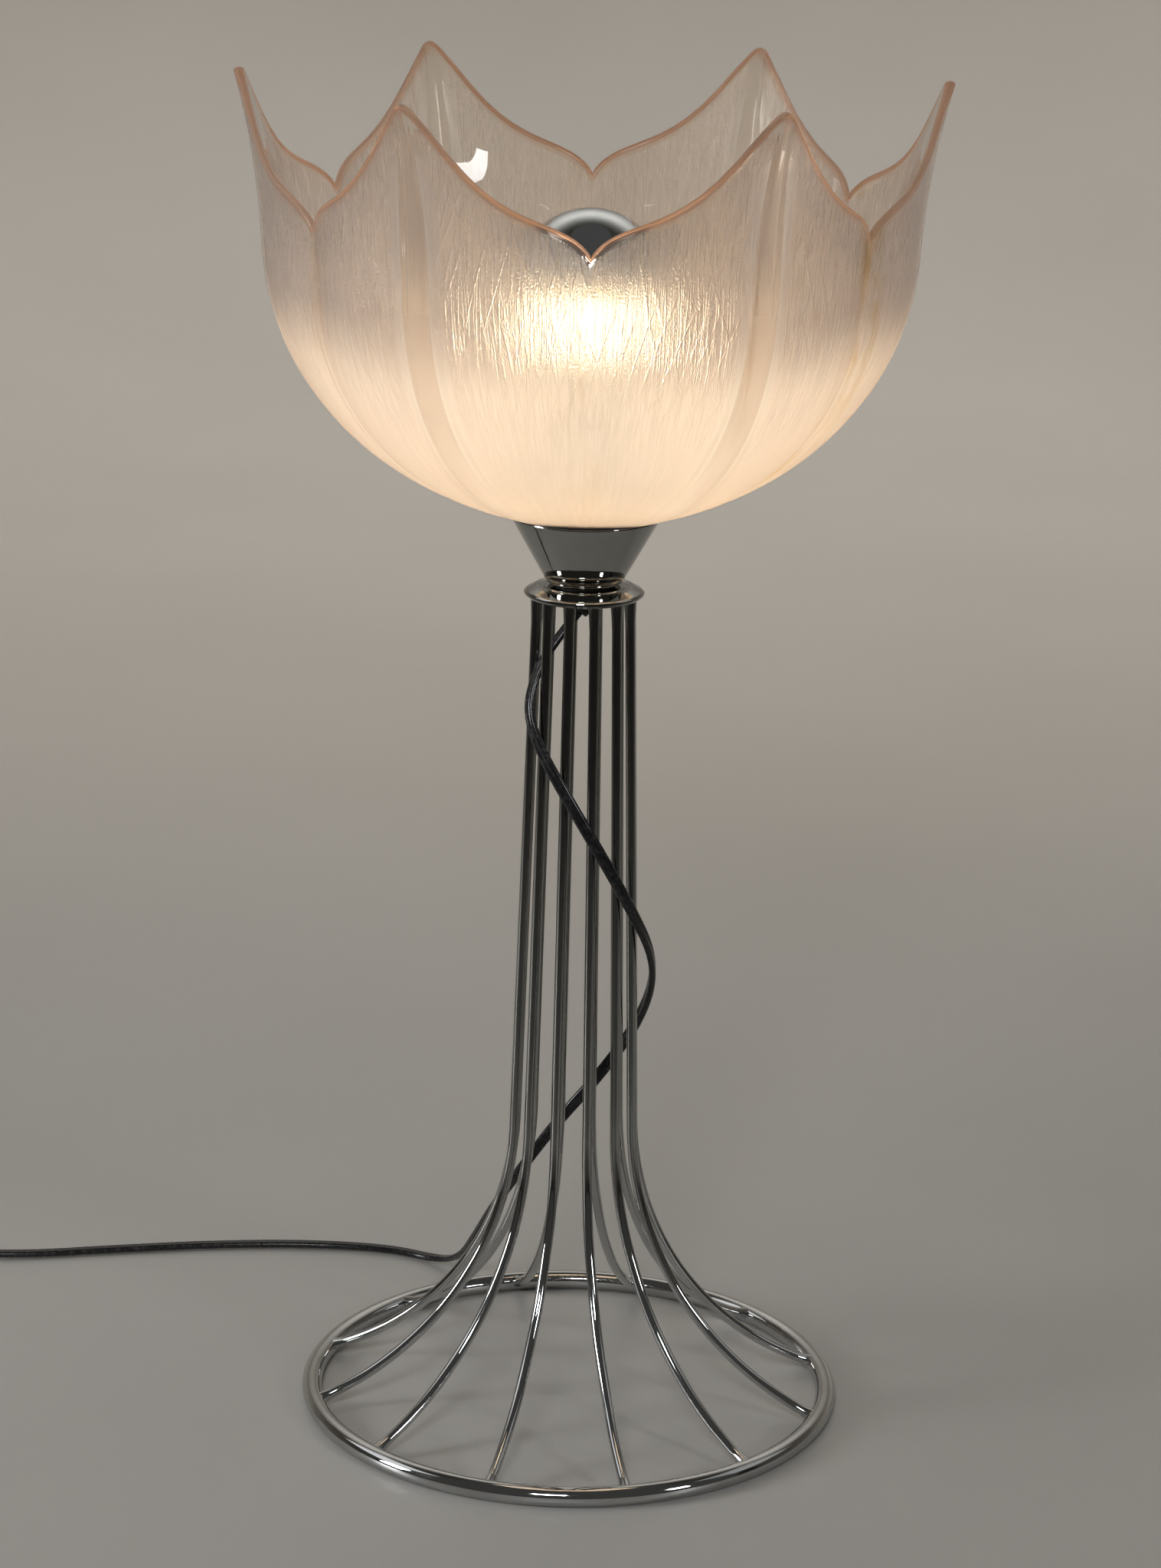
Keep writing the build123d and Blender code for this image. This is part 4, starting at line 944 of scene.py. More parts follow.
def glass_bowl():
    """The bowl's mesh, with masks for its finish, etched glass outside and smooth glass inside.

    On a face that spans the end of the turn, the flow's small shares go up by one.
    """
    grid = bowl_grid()
    rows, columns = grid["points"].shape[:2]
    faces = quads(rows, columns, True)
    mesh = bare_mesh("petal_bowl", grid["points"].reshape(-1, 3), faces)
    for key in MASKS:
        mesh.attributes.new(key, "FLOAT", "POINT").data.foreach_set("value", grid[key].ravel())
    flow = grid["flow"].reshape(-1, 2)[faces]
    wide = flow[..., 0].max(axis=1) - flow[..., 0].min(axis=1) > 0.5
    flow[wide, :, 0] += np.where(flow[wide, :, 0] < 0.5, 1.0, 0.0)
    mesh.uv_layers.new(name="flow").data.foreach_set("uv", flow.ravel())
    mesh.polygons.foreach_set("use_smooth", np.ones(len(faces), dtype=bool))
    dressed("petal_bowl", mesh, petal_glass("etched_glass", True), ["glass_shade"])
    mesh.materials.append(petal_glass("smooth_glass", False))
    inner = np.arange(len(faces)) // columns >= 1 + OUTER_ROWS + CAP_ROWS
    mesh.polygons.foreach_set("material_index", inner.astype(np.int32))
    close_up(mesh)


# Base and column

def ring_foot(finish):
    """The ring: a round bar bent in a circle, ground flat underneath."""
    section = circle(RING_BAR / 2, 40) + (RING_CENTRE, RING_HEIGHT)
    section[:, 1] = np.maximum(section[:, 1], 0.0)
    lathe("ring_foot", "base_ring", section, finish, 256, sharp=60.0)


def rod_line():
    """A wire's centreline as (radius, height): straight from the disc, then one arc to the ring's bar."""
    top = np.array(ROD_TOP)
    bend = np.array(ROD_BEND)
    along = unit(bend - top)
    chord = np.array([RING_CENTRE, RING_HEIGHT]) - bend
    across = np.array([-along[1], along[0]])
    radius = chord @ chord / (2 * (chord @ across))
    centre = bend + across * radius
    total = 2 * np.arcsin(np.linalg.norm(chord) / (2 * abs(radius)))
    straight = top + (bend - top) * np.linspace(0, 1, 24, endpoint=False)[:, None]
    start = bend - centre
    turn = np.linspace(0, total, 60)[:, None]
    arc = centre + start * np.cos(turn) + np.array([-start[1], start[0]]) * np.sin(turn)
    return np.concatenate([straight, arc])


def column_wires(finish):
    """Twelve wires with a weld's small fillet at the ring and at the disc.

    Low down each sways a little: the sum of two sines of the way along it, faded in by a smooth step.
    """
    line = rod_line()
    travelled = np.concatenate([[0], np.cumsum(np.linalg.norm(np.diff(line, axis=0), axis=1))])
    to_ring = travelled[-1] - travelled - RING_BAR / 2
    fillet = WELD_RISE * (1 - smoothstep(to_ring, 0, WELD_LENGTH)) ** 2
    fillet = fillet + TOP_WELD_RISE * (1 - smoothstep(travelled, 0, TOP_WELD_LENGTH)) ** 2
    keep = travelled < travelled[-1] - 1.5
    for number in range(ROD_COUNT):
        angle = np.radians(ROD_TURN + 360.0 / ROD_COUNT * number)
        out = np.array([np.sin(angle), -np.cos(angle), 0.0])
        tangent = np.array([np.cos(angle), np.sin(angle), 0.0])
        sway = sum(size * np.sin(travelled / wave + number * phase) for size, wave, phase in SWAYS)
        sway = sway * smoothstep(travelled, *SWAY_START)
        path = line[:, :1] * out + line[:, 1:] * np.array(UP) + sway[:, None] * tangent
        grid = carried(path[keep], circle(ROD_RADIUS, 24), tangent, 1 + fillet[keep] / ROD_RADIUS)
        name = f"{number + 1:02d}"
        piece("wire_" + name, ["rod_" + name], [grid], finish, sharp=60.0)


def collar(finish):
    """The disc: a round rim, and a shallow step round the foot of the cup."""
    outline = rounded([
        (0.5, DISC_LOW, 0), (DISC_RADIUS - 1.6, DISC_LOW, 0.9), (DISC_RADIUS, DISC_LOW + 1.5, 1.1),
        (DISC_RADIUS, DISC_HIGH - 2.2, 1.9), (DISC_RADIUS - 4.6, DISC_HIGH, 1.8),
        (DISC_RADIUS - 5.6, DISC_HIGH - DISC_STEP, 0.5), (16.4, DISC_HIGH - DISC_STEP, 0.4),
        (15.8, DISC_HIGH, 0.4), (0.5, DISC_HIGH, 0)])
    lathe("collar", "collar_disc", outline, finish, 160, sharp=50.0)


def cup(finish):
    """The spun cup: a straight taper from a small rounded foot up to a rolled lip."""
    outline = rounded([
        (STEM_HOLE, CUP_LOW, 0), (14.3, CUP_LOW, 0.3), (14.9, CUP_LOW + 0.6, 0.4),
        (28.9, CUP_HIGH - 1.4, 0.6), (29.3, CUP_HIGH - 0.7, 0.3), (29.2, CUP_HIGH, 0.3),
        (28.3, CUP_HIGH, 0.3), (14.0, CUP_LOW + CUP_WALL, 0.5), (STEM_HOLE, CUP_LOW + CUP_WALL, 0)])
    lathe("cup", "shade_cup", outline, finish, 160, sharp=35.0)


def flat_ring(name, node, inner, outer, low, high, finish):
    """A flat ring with finely bevelled edges."""
    corners = [(inner, low), (outer, low), (outer, high), (inner, high)]
    lathe(name, node, rounded([(x, z, RING_BEVEL) for x, z in corners], 3), finish)


def hexagon(name, node, low, finish):
    """A nut: six flats, with its corners cut by a cone at both ends."""
    high = low + NUT_THICKNESS
    inner = STEM_RADIUS + 1.6
    rows = [(STEM_RADIUS, low), (inner, low)]
    rows += [(NUT_CORNERS, height) for height in (low + 0.01, low + 0.9, high - 0.9, high - 0.01)]
    rows += [(inner, high), (STEM_RADIUS, high)]

    def flats(radius, height, angle):
        flat = NUT_FLATS / 2 / np.cos((angle % (np.pi / 3)) - np.pi / 6)
        end = np.minimum(height - low, high - height)
        limit = np.minimum(flat, NUT_FLATS / 2 + 0.15 + end * 1.3)
        return np.where(radius > NUT_CORNERS - 0.5, limit - radius, 0.0)

    lathe(name, node, rows, finish, 144, flats, 30.0)


def hollow_stem(finish):
    """A threaded tube with plain ends."""
    high = HOLDER_LOW + 5.5
    core = STEM_RADIUS - STEM_THREAD
    heights = np.linspace(STEM_LOW + 0.6, high - 0.6, 150)
    rows = np.concatenate([
        [(STEM_BORE, STEM_LOW), (STEM_RADIUS - 0.6, STEM_LOW)], joined(np.full_like(heights, core), heights),
        [(STEM_RADIUS - 0.6, high), (STEM_BORE, high)]])
    lathe("stem", "threaded_stem", rows, finish, 48, thread(core, STEM_THREAD, STEM_PITCH))


def grommet(finish):
    """A rubber sleeve: circles that slide and lean from the stem to the exit's slant, ribbed by a sine."""
    start = np.array([0.0, 0.0, STEM_LOW])
    end = np.array(LEAD_ROUTE[0])
    way = unit(np.array(LEAD_ROUTE[1]) - end)
    rows = []
    for share in np.linspace(0, 1, 12):
        normal = unit(np.array([0, 0, -1.0]) * (1 - share) + way * share)
        side = unit(np.cross(normal, [0, 1.0, 0]))
        rib = GROMMET_RIB * np.sin(share * np.pi * GROMMET_RIBS) ** 2
        ring = circle(GROMMET_RADIUS - GROMMET_TAPER * share + rib, 32)
        ring = ring[:, :1] * side + ring[:, 1:] * np.cross(normal, side)
        rows.append(start + (end - start) * share + ring)
    piece("grommet", ["cord_grommet"], [capped(np.array(rows))], finish)


# Lampholder

def holder_base(finish):
    """The lower half of the lampholder: a thin dome."""
    dome = rounded([
        (STEM_HOLE, HOLDER_LOW, 0), (9.0, HOLDER_LOW, 0.8), (19.2, HOLDER_LOW + 9, 7.0),
        (20.5, HOLDER_RIM, 0.3), (18.5, HOLDER_RIM, 0.3), (17.2, HOLDER_LOW + 9.6, 6.0),
        (8.0, HOLDER_LOW + 2.2, 0.8), (STEM_HOLE, HOLDER_LOW + 2.0, 0)], 8)
    lathe("holder_base", "holder_cap", dome, finish)


def holder_sleeve(finish):
    """The upper half of the lampholder: a threaded sleeve with a narrower mouth."""
    core = SLEEVE_RADIUS - SLEEVE_THREAD
    heights = np.linspace(SLEEVE_LOW + 1.5, SLEEVE_HIGH - 1.5, 130)
    inner = SLEEVE_RADIUS - SLEEVE_WALL
    lip = MOUTH_RADIUS - SLEEVE_WALL
    rows = np.concatenate([
        [(inner, SLEEVE_LOW), (SLEEVE_RADIUS, SLEEVE_LOW), (SLEEVE_RADIUS, SLEEVE_LOW + 1.2)],
        joined(np.full_like(heights, core), heights),
        [(SLEEVE_RADIUS - 0.6, SLEEVE_HIGH), (MOUTH_RADIUS, SLEEVE_HIGH + 2.1),
         (MOUTH_RADIUS, MOUTH_HIGH - 0.6), (MOUTH_RADIUS - 0.6, MOUTH_HIGH), (lip + 0.5, MOUTH_HIGH),
         (lip, MOUTH_HIGH - 0.5), (lip, SLEEVE_HIGH), (inner, SLEEVE_HIGH - 2.1)]])
    lathe("holder_sleeve_top", "holder_sleeve", rows, finish, 96, thread(core, SLEEVE_WAVE, SLEEVE_PITCH))


def holder_core(porcelain, brass):
    """The ceramic puck with the screw shell, the contact tongue and two terminal screws."""
    puck = rounded([
        (0, HOLDER_RIM, 0), (SLEEVE_RADIUS, HOLDER_RIM, 0.3), (SLEEVE_RADIUS, SLEEVE_LOW, 0.3),
        (17.3, SLEEVE_LOW, 0.3), (17.3, PUCK_HIGH, 0.8), (8.0, PUCK_HIGH, 0.6), (7.0, PUCK_HIGH - 1.0, 0.6),
        (0, PUCK_HIGH - 1.0, 0)], 4)
    lathe("holder_puck", "holder_insulator", puck, porcelain)
    shell = np.concatenate(screw_rows(CAP_RADIUS + 0.55, PUCK_HIGH, PUCK_HIGH + SHELL_HEIGHT, 0.5))
    lathe("socket_shell", "screw_shell", shell, brass, 72, screw_thread)
    tongue = rounded([
        (0, PUCK_HIGH, 0), (4.0, PUCK_HIGH, 0.2), (3.8, CONTACT_HIGH - 0.8, 0.5), (2.2, CONTACT_HIGH, 0.5),
        (0, CONTACT_HIGH, 0)], 4)
    lathe("socket_tongue", "centre_contact", tongue, brass, 48)
    screw = rounded([
        (0, HOLDER_RIM - 3.5, 0), (2.5, HOLDER_RIM - 3.5, 0.5), (2.5, HOLDER_RIM, 0), (0, HOLDER_RIM, 0)], 3)
    heads = [turned(screw, 32) + (side, 0, 0) for side in (-10.0, 10.0)]
    piece("core_screws", ["terminal_screws"], heads, brass, True)


def screw_rows(radius, low, high, wall):
    """Rows of a thin threaded shell: up the outside, and down the inside."""
    heights = np.linspace(low, high, THREAD_ROWS)
    return (joined(np.full_like(heights, radius), heights),
            joined(np.full_like(heights, radius - wall), heights[::-1]))


def screw_thread(radius, height, angle):
    """The rolled round thread of a lamp cap: a cosine that climbs one pitch a turn."""
    return THREAD_DEPTH * (np.cos(2 * np.pi * height / THREAD_PITCH - angle) - 1) / 2 - 0.02


def ring_nut(finish):
    """The shade ring: a collar with finger grips, over the thread of the lampholder."""
    inner = SLEEVE_RADIUS + 0.08
    outline = rounded([
        (inner, SHADE_RING_LOW, 0.3), (SHADE_RING_RADIUS, SHADE_RING_LOW, 0.6),
        (SHADE_RING_RADIUS, SHADE_RING_HIGH - 2.0, 0.5), (SHADE_RING_RADIUS - 3.0, SHADE_RING_HIGH, 1.0),
        (inner, SHADE_RING_HIGH, 0.6)], 5)

    def grips(radius, height, angle):
        outside = smoothstep(radius, SHADE_RING_RADIUS - 2.5, SHADE_RING_RADIUS - 0.5)
        return -GRIP_DEPTH * np.clip(np.cos(GRIPS * angle), 0, 1) ** 2 * outside

    lathe("ring_nut", "shade_ring", outline, finish, 288, grips, 50.0, "ring_nut")


# Bulb

def bulb_line(inset):
    """The bulb's outline from the neck's foot to the top: a cubic neck, tangent to the round part."""
    radius = BULB_RADIUS - inset
    turn = np.radians(NECK_TANGENT)
    foot = np.array([NECK_RADIUS - inset, CAP_HIGH])
    meet = np.array([radius * np.cos(turn), BULB_CENTRE - radius * np.sin(turn)])
    size = np.linalg.norm(meet - foot)
    share = np.linspace(0, 1, 28, endpoint=False)[:, None]
    start_way = np.array([0.02, 1.0]) * size
    end_way = np.array([np.sin(turn), np.cos(turn)]) * size
    neck = ((2 * share ** 3 - 3 * share ** 2 + 1) * foot + (share ** 3 - 2 * share ** 2 + share) * start_way
            + (3 * share ** 2 - 2 * share ** 3) * meet + (share ** 3 - share ** 2) * end_way)
    angle = np.linspace(-turn, np.pi / 2, 72)
    ball = joined(radius * np.cos(angle), BULB_CENTRE + radius * np.sin(angle))
    return np.concatenate([neck, ball])


def bulb_envelope(glass, mirror):
    """The globe on its neck, and the silvered crown, a thin cap over the upper half of the globe."""
    share = 1 - MIRROR_THICKNESS / BULB_RADIUS
    outer = bulb_line(0.0)
    above = outer[:, 1] > BULB_CENTRE
    outer[above, 0] *= share
    outer[above, 1] = BULB_CENTRE + (outer[above, 1] - BULB_CENTRE) * share
    shell = np.concatenate([outer, bulb_line(BULB_WALL)[::-1]])
    lathe("bulb_shell", "bulb_envelope", shell, glass, sharp=60.0, body="bulb")
    angle = np.linspace(0, np.pi / 2, 40)
    outside = joined(np.cos(angle), np.sin(angle)) * BULB_RADIUS
    inside = outside[::-1] * (BULB_RADIUS - MIRROR_THICKNESS + 0.05) / BULB_RADIUS
    crown = np.concatenate([outside, inside]) + (0, BULB_CENTRE)
    lathe("bulb_crown", "bulb_mirror", crown, mirror, 128, sharp=60.0, body="bulb")


def bulb_cap(metal_finish, black):
    """The threaded cap, the black glass cone under it and the contact at the foot."""
    foot = CAP_RADIUS * 0.8
    outside, inside = screw_rows(CAP_RADIUS, CAP_LOW + 2.4, CAP_HIGH - 2.0, 0.4)
    rows = np.concatenate([
        [(foot, CAP_LOW)], outside, [(CAP_RADIUS, CAP_HIGH), (CAP_RADIUS - 0.4, CAP_HIGH)], inside,
        [(foot - 0.4, CAP_LOW + 0.4), (0, CAP_LOW + 0.4), (0, CAP_LOW)]])

    def rolled(radius, height, angle):
        fade = smoothstep(height, CAP_LOW + 2.4, CAP_LOW + 4) * (
            1 - smoothstep(height, CAP_HIGH - 4, CAP_HIGH - 2))
        return np.where(radius > CAP_RADIUS * 0.9, screw_thread(radius, height, angle) * fade, 0.0)

    lathe("bulb_thread", "bulb_cap", rows, metal_finish, 72, rolled, body="bulb")
    cone = rounded([(0, PIP_HIGH, 0), (5.2, PIP_HIGH, 0.5), (10.2, CAP_LOW, 0.5), (0, CAP_LOW, 0)], 4)
    lathe("bulb_cone", "bulb_insulator", cone, black, 64, body="bulb")
    pip = rounded([(0, BULB_FOOT, 0), (3.4, BULB_FOOT, 0.8), (4.5, PIP_HIGH, 0.2), (0, PIP_HIGH, 0)], 5)
    lathe("bulb_pip", "bulb_contact", pip, metal_finish, 48, body="bulb")


def bulb_mount(glass):
    """The glass foot and post that carry the wire."""
    mount = rounded([
        (0, CAP_HIGH, 0), (12.4, CAP_HIGH, 0.3), (12.4, CAP_HIGH + 1.0, 0.3), (6.0, CAP_HIGH + 5, 3.0),
        (3.0, CAP_HIGH + 13, 3.0), (3.0, MOUNT_HIGH - 4, 1.0), (1.8, MOUNT_HIGH, 0.8), (0, MOUNT_HIGH, 0)])
    lathe("bulb_mount", "bulb_stem", mount, glass, 48, body="bulb")


def filament(wire):
    """A helix wound along a level arc, with two leads and four thin hooks that hold it."""
    angle = np.radians(np.linspace(*FILAMENT_ARC, FILAMENT_POINTS))
    spin = np.linspace(0, 2 * np.pi * FILAMENT_COILS, FILAMENT_POINTS)
    radius = FILAMENT_RADIUS + COIL_RISE * np.cos(spin)
    ring = joined(radius * np.cos(angle), radius * np.sin(angle), FILAMENT_HIGH + COIL_RISE * np.sin(spin))
    grids = [carried(ring, circle(FILAMENT_WIRE, 6), UP)]
    for end, side in ((ring[0], -1.2), (ring[-1], 1.2)):
        lead = np.linspace((side, 0, MOUNT_HIGH - 1.0), end, 12)
        grids.append(carried(lead, circle(WIRE_LEAD, 8), (0, 1.0, 0.3)))
    for hook in np.radians(HOOK_ANGLES):
        tip = (FILAMENT_RADIUS * np.cos(hook), FILAMENT_RADIUS * np.sin(hook), FILAMENT_HIGH - 0.5)
        arm = np.linspace((0, 0, MOUNT_HIGH - 0.5), tip, 8)
        grids.append(carried(arm, circle(WIRE_HOOK, 6), (0.3, 0.2, 1.0)))
    piece("filament_coil", ["bulb_filament"], grids, wire, sharp=80.0, body="bulb")


# Flex

def smooth_line(route, name):
    """Points along the smooth line of a route of control points, in millimetres."""
    curve = bpy.data.curves.new(name, "CURVE")
    curve.dimensions = "3D"
    curve.resolution_u = 12
    spline = curve.splines.new("NURBS")
    spline.points.add(len(route) - 1)
    weights = np.ones((len(route), 1))
    spline.points.foreach_set("co", np.hstack([np.asarray(route) * MM, weights]).ravel())
    spline.order_u = 3
    spline.use_endpoint_u = True
    holder = bpy.data.objects.new(name, curve)
    mesh = bpy.data.meshes.new_from_object(holder)
    points = np.zeros(len(mesh.vertices) * 3)
    mesh.vertices.foreach_get("co", points)
    bpy.data.objects.remove(holder)
    bpy.data.meshes.remove(mesh)
    bpy.data.curves.remove(curve)
    return points.reshape(-1, 3) / MM


def twin_section():
    """Two cores in one jacket: a flat oval, squared by powers of a circle's cosine and sine, with a
    bell-shaped groove along the middle of both sides."""
    x, y = circle(1.0, 32).T
    x = np.sign(x) * np.abs(x) ** 0.8 * FLEX_WIDTH / 2
    groove = 1 - 0.24 * np.exp(-(x / 0.62) ** 2)
    return joined(x, np.sign(y) * np.abs(y) ** 0.85 * FLEX_THICKNESS / 2 * groove)


def flex(name, route, facing, nodes, finish):
    """A stretch of flat flex along the smooth line of its route, with its flat side towards facing."""
    path = smooth_line(route, name)
    step = np.linalg.norm(np.diff(path, axis=0), axis=1)
    path = path[np.concatenate([[True], step > 1e-4])]
    thing = piece(name, nodes, [carried(path, twin_section(), facing(path))], finish, sharp=80.0)


def lead_facing(path):
    """The flat side faces away from the lamp's axis while the flex hangs, and up where it lies."""
    outward = path * np.array([1.0, 1.0, 0.0])
    outward /= np.linalg.norm(outward, axis=1, keepdims=True) + 1e-6
    hangs = smoothstep(path[:, 2], 8, 60)[:, None]
    return outward * hangs + np.array(UP) * (1 - hangs)


def tail_facing(path):
    """The flat side faces out of the coil, and up beside the switch and the plug."""
    centre = np.array([COIL_LEFT + COIL_RADIUS, COIL_SIDE, 0.0])
    outward = (path - centre) * np.array([1.0, 1.0, 0.0])
    wound = 1 - smoothstep(np.linalg.norm(outward, axis=1, keepdims=True), 40, 58)
    return unit(outward) * wound + np.array(UP) * (1 - wound) + np.array([0.02, 0, 0.02])


def coil_route():
    """Control points of the coil: half turns that shrink, one that climbs a layer, then ones that grow."""
    points = []
    left = np.array([COIL_LEFT, COIL_SIDE])
    side = 1.0
    radius = COIL_RADIUS
    height = FLOOR_LINE
    spread = 1 / np.cos(np.pi / 2 / COIL_POINTS)
    share = (np.arange(COIL_POINTS) + 0.5) / COIL_POINTS
    arc = spread * joined(np.cos(np.pi * share), np.sin(np.pi * share))
    for half_turn in range(2 * COIL_HALF_TURNS):
        climb = COIL_LAYER if half_turn == COIL_HALF_TURNS else 0.0
        flat = left + (radius * side, 0.0) - side * radius * arc
        points.extend(np.column_stack([flat, height + climb * share]).tolist())
        height += climb
        left = left + (2 * radius * side, 0.0)
        side = -side
        radius += -COIL_STEP if half_turn < COIL_HALF_TURNS else COIL_STEP
    return points


# Switch and plug

def switch_body(plastic):
    """A two-part housing: crowned cover with a window, base with a chamfered foot, and a fine joint line."""
    length = SWITCH_LENGTH
    width = SWITCH_WIDTH
    joint = SWITCH_JOINT
    top = SWITCH_HEIGHT
    ceiling = top - SWITCH_WALL
    base = [
        (joint - 0.1, length - 8, width - 8, 1.5), (joint - 0.1, length - 0.8, width - 0.8, 2.7),
        (joint - 0.4, length, width, 3.0), (1.2, length, width, 3.0),
        (0.4, length - 0.6, width - 0.6, 2.7), (0.0, length - 1.8, width - 1.8, 2.2),
        (0.0, length - 12, width - 10, 1.5), (0.5, length - 13, width - 11, 1.5),
        (0.5, 2.0, 1.0, 0.4), (joint - 1.1, 2.0, 1.0, 0.4)]
    cover = [
        (joint + 0.1, length - 0.8, width - 0.8, 2.7), (joint + 0.4, length, width, 3.0),
        (top - 3.2, length, width, 3.0), (top - 1.6, length - 0.8, width - 0.8, 2.7),
        (top - 0.6, length - 2.4, width - 2.4, 2.2), (top, length - 5.0, width - 4.6, 1.8),
        (top, 25.8, 11.2, 1.4), (top - 0.5, 24.6, 10.0, 0.8), (ceiling, 24.6, 10.0, 0.8),
        (ceiling, length - 13.2, width - 3.2, 1.5), (joint + 0.1, length - 13.2, width - 3.2, 1.5)]
    piece("switch_lower", ["switch_base"], [stacked(base, SWITCH_PLACE, *UPRIGHT)], plastic, True)
    piece("switch_upper", ["switch_cover"], [stacked(cover, SWITCH_PLACE, *UPRIGHT)], plastic, True)


def switch_metal(steel):
    """Two screw heads under the base, and the rocker's pin."""
    x, y, _ = SWITCH_PLACE
    head = turned(rounded([(0, 0.32, 0), (2.4, 0.32, 0.4), (2.4, 1.4, 0), (0, 1.4, 0)], 3), 32)
    heads = [head + (x + end * 25.0, y + end * 5.0, 0) for end in (-1, 1)]
    piece("housing_screws", ["switch_screws"], heads, steel, True)
    axle = np.linspace((x, y - 8.2, SWITCH_JOINT), (x, y + 8.2, SWITCH_JOINT), 6)
    piece("rocker_axle", ["rocker_pin"], [carried(axle, circle(1.0, 24), UP)], steel)


def rocker(plastic):
    """The rocker: a dished bar with ends round its pin, tilted in its on position, with grip lines."""
    top = SWITCH_HEIGHT - SWITCH_JOINT + ROCKER_RISE
    low = top - ROCKER_DEPTH
    reach = np.sqrt(ROCKER_RADIUS ** 2 - top ** 2)
    x = np.linspace(-1, 1, 61)
    grips = 0.22 * np.clip(np.cos(x * 30), 0, 1) * (np.abs(x) > 0.62) * (np.abs(x) < 0.9)
    roof = joined(x * reach, top - ROCKER_DISH * (1 - x ** 2) - grips)
    turn = np.linspace(np.arccos(reach / ROCKER_RADIUS), np.arcsin(low / ROCKER_RADIUS), 8)[1:]
    right = ROCKER_RADIUS * joined(np.cos(turn), np.sin(turn))
    outline = np.concatenate([roof, right, right[::-1] * np.array([-1.0, 1.0])])
    cosine = np.cos(np.radians(ROCKER_TILT))
    sine = np.sin(np.radians(ROCKER_TILT))
    spun = outline @ np.array([[cosine, -sine], [sine, cosine]])
    middle = np.array([0.0, (top + low) / 2])
    half = ROCKER_WIDTH / 2
    ends = [(-half, 0.9), (-half, 0.994), (0.3 - half, 1.0), (half - 0.3, 1.0), (half, 0.994), (half, 0.9)]
    rows = []
    for y, inset in ends:
        shape = middle + (spun - middle) * inset
        rows.append(joined(shape[:, 0], np.full(len(shape), y), shape[:, 1] + SWITCH_JOINT) + SWITCH_PLACE)
    piece("rocker", ["switch_rocker"], [capped(np.array(rows))], plastic, sharp=35.0, body="rocker")


def plug(plastic, metal_finish):
    """A flat two-pin plug, with sleeved pins and a ribbed relief.

    The moulding is rounded rectangles that narrow by a smooth step, with finger ridges from a sine.
    """
    back = PLUG_FRONT + PLUG_LENGTH
    rows = [(PLUG_FRONT, 1.0, 0.5, 0.2), (PLUG_FRONT, PLUG_WIDTH - 1.6, PLUG_THICKNESS - 1.6, 3.4),
            (PLUG_FRONT + 0.8, PLUG_WIDTH, PLUG_THICKNESS, 4.0)]
    for share in np.linspace(0.05, 0.97, PLUG_ROWS):
        narrow = smoothstep(share, 0.18, 1.0)
        wave = np.sin((share - 0.42) * 2 * np.pi * PLUG_RIDGES)
        ridge = 0.35 * np.clip(wave, 0, 1) * (0.42 < share < 0.88)
        rows.append((PLUG_FRONT + PLUG_LENGTH * share, PLUG_WIDTH - 20.5 * narrow - ridge,
                     PLUG_THICKNESS - 2.0 * narrow - ridge, 4.0))
    rows += [(back, 12.0, 10.4, 3.6), (back, 1.0, 0.5, 0.2)]
    moulding = stacked(rows, (PLUG_SIDE, 0.0, PLUG_AXIS), *LYING)
    piece("plug_moulding", ["plug_body"], [moulding], plastic, sharp=50.0)

    tip = PLUG_FRONT - PIN_LENGTH
    profile = [(PLUG_FRONT, PIN_RADIUS - 0.1), (tip + 1.2, PIN_RADIUS), (tip + 0.5, PIN_RADIUS - 0.2),
               (tip + 0.1, PIN_RADIUS - 0.8), (tip, PIN_RADIUS - 1.5)]
    pins = []
    sleeves = []
    for x in (PLUG_SIDE - PIN_SPACING / 2, PLUG_SIDE + PIN_SPACING / 2):
        pins.append(rings(profile, x, PLUG_AXIS, 32))
        path = np.linspace((x, PLUG_FRONT + 0.2, PLUG_AXIS), (x, PLUG_FRONT - SLEEVE_LENGTH, PLUG_AXIS), 4)
        sleeves.append(carried(path, circle(PIN_RADIUS, 32), UP))
    piece("contact_pins", ["plug_pins"], pins, metal_finish)
    piece("pin_sleeves", [], sleeves, plastic)

    share = np.linspace(0, 1, 41)
    radius = 5.25 - 1.55 * share - 0.55 * (np.sin(share * 2 * np.pi * RELIEF_RIBS) > 0) * (share < 0.93)
    relief = rings(zip(back + RELIEF_LENGTH * share, radius), PLUG_SIDE, PLUG_AXIS, 40, 0.92)
    piece("plug_sleeve", ["plug_relief"], [relief], plastic, sharp=50.0)


# Stage

def backdrop():
    """A pale matt sheet with the faintest clouds: greyer on the table, and painted dark well before the
    lamp, a painted shade that the chrome reflects as a dim room.
    """
    finish = Finish("studio_paper")
    cloud = finish.noise(finish.place(), 2.5, 4.0)
    pale = finish.ramp(cloud, [(0.3, (0.465, 0.435, 0.395)), (0.7, (0.495, 0.465, 0.425))])
    table = finish.ramp(cloud, [(0.3, (0.375, 0.365, 0.345)), (0.7, (0.40, 0.39, 0.37))])
    # Painted shade: the floor well before the lamp is painted dark for the chrome to reflect
    dim = finish.ramp(cloud, [(0.3, (0.09, 0.085, 0.08)), (0.7, (0.11, 0.105, 0.10))])
    back = finish.along("Y")
    colour = finish.blend(finish.between(back, 0.15, 0.95), table, pale)
    colour = finish.blend(finish.between(back, -0.50, -0.15), dim, colour)
    return finish.finished(finish.principled({"Base Color": colour, "Roughness": 0.42}))


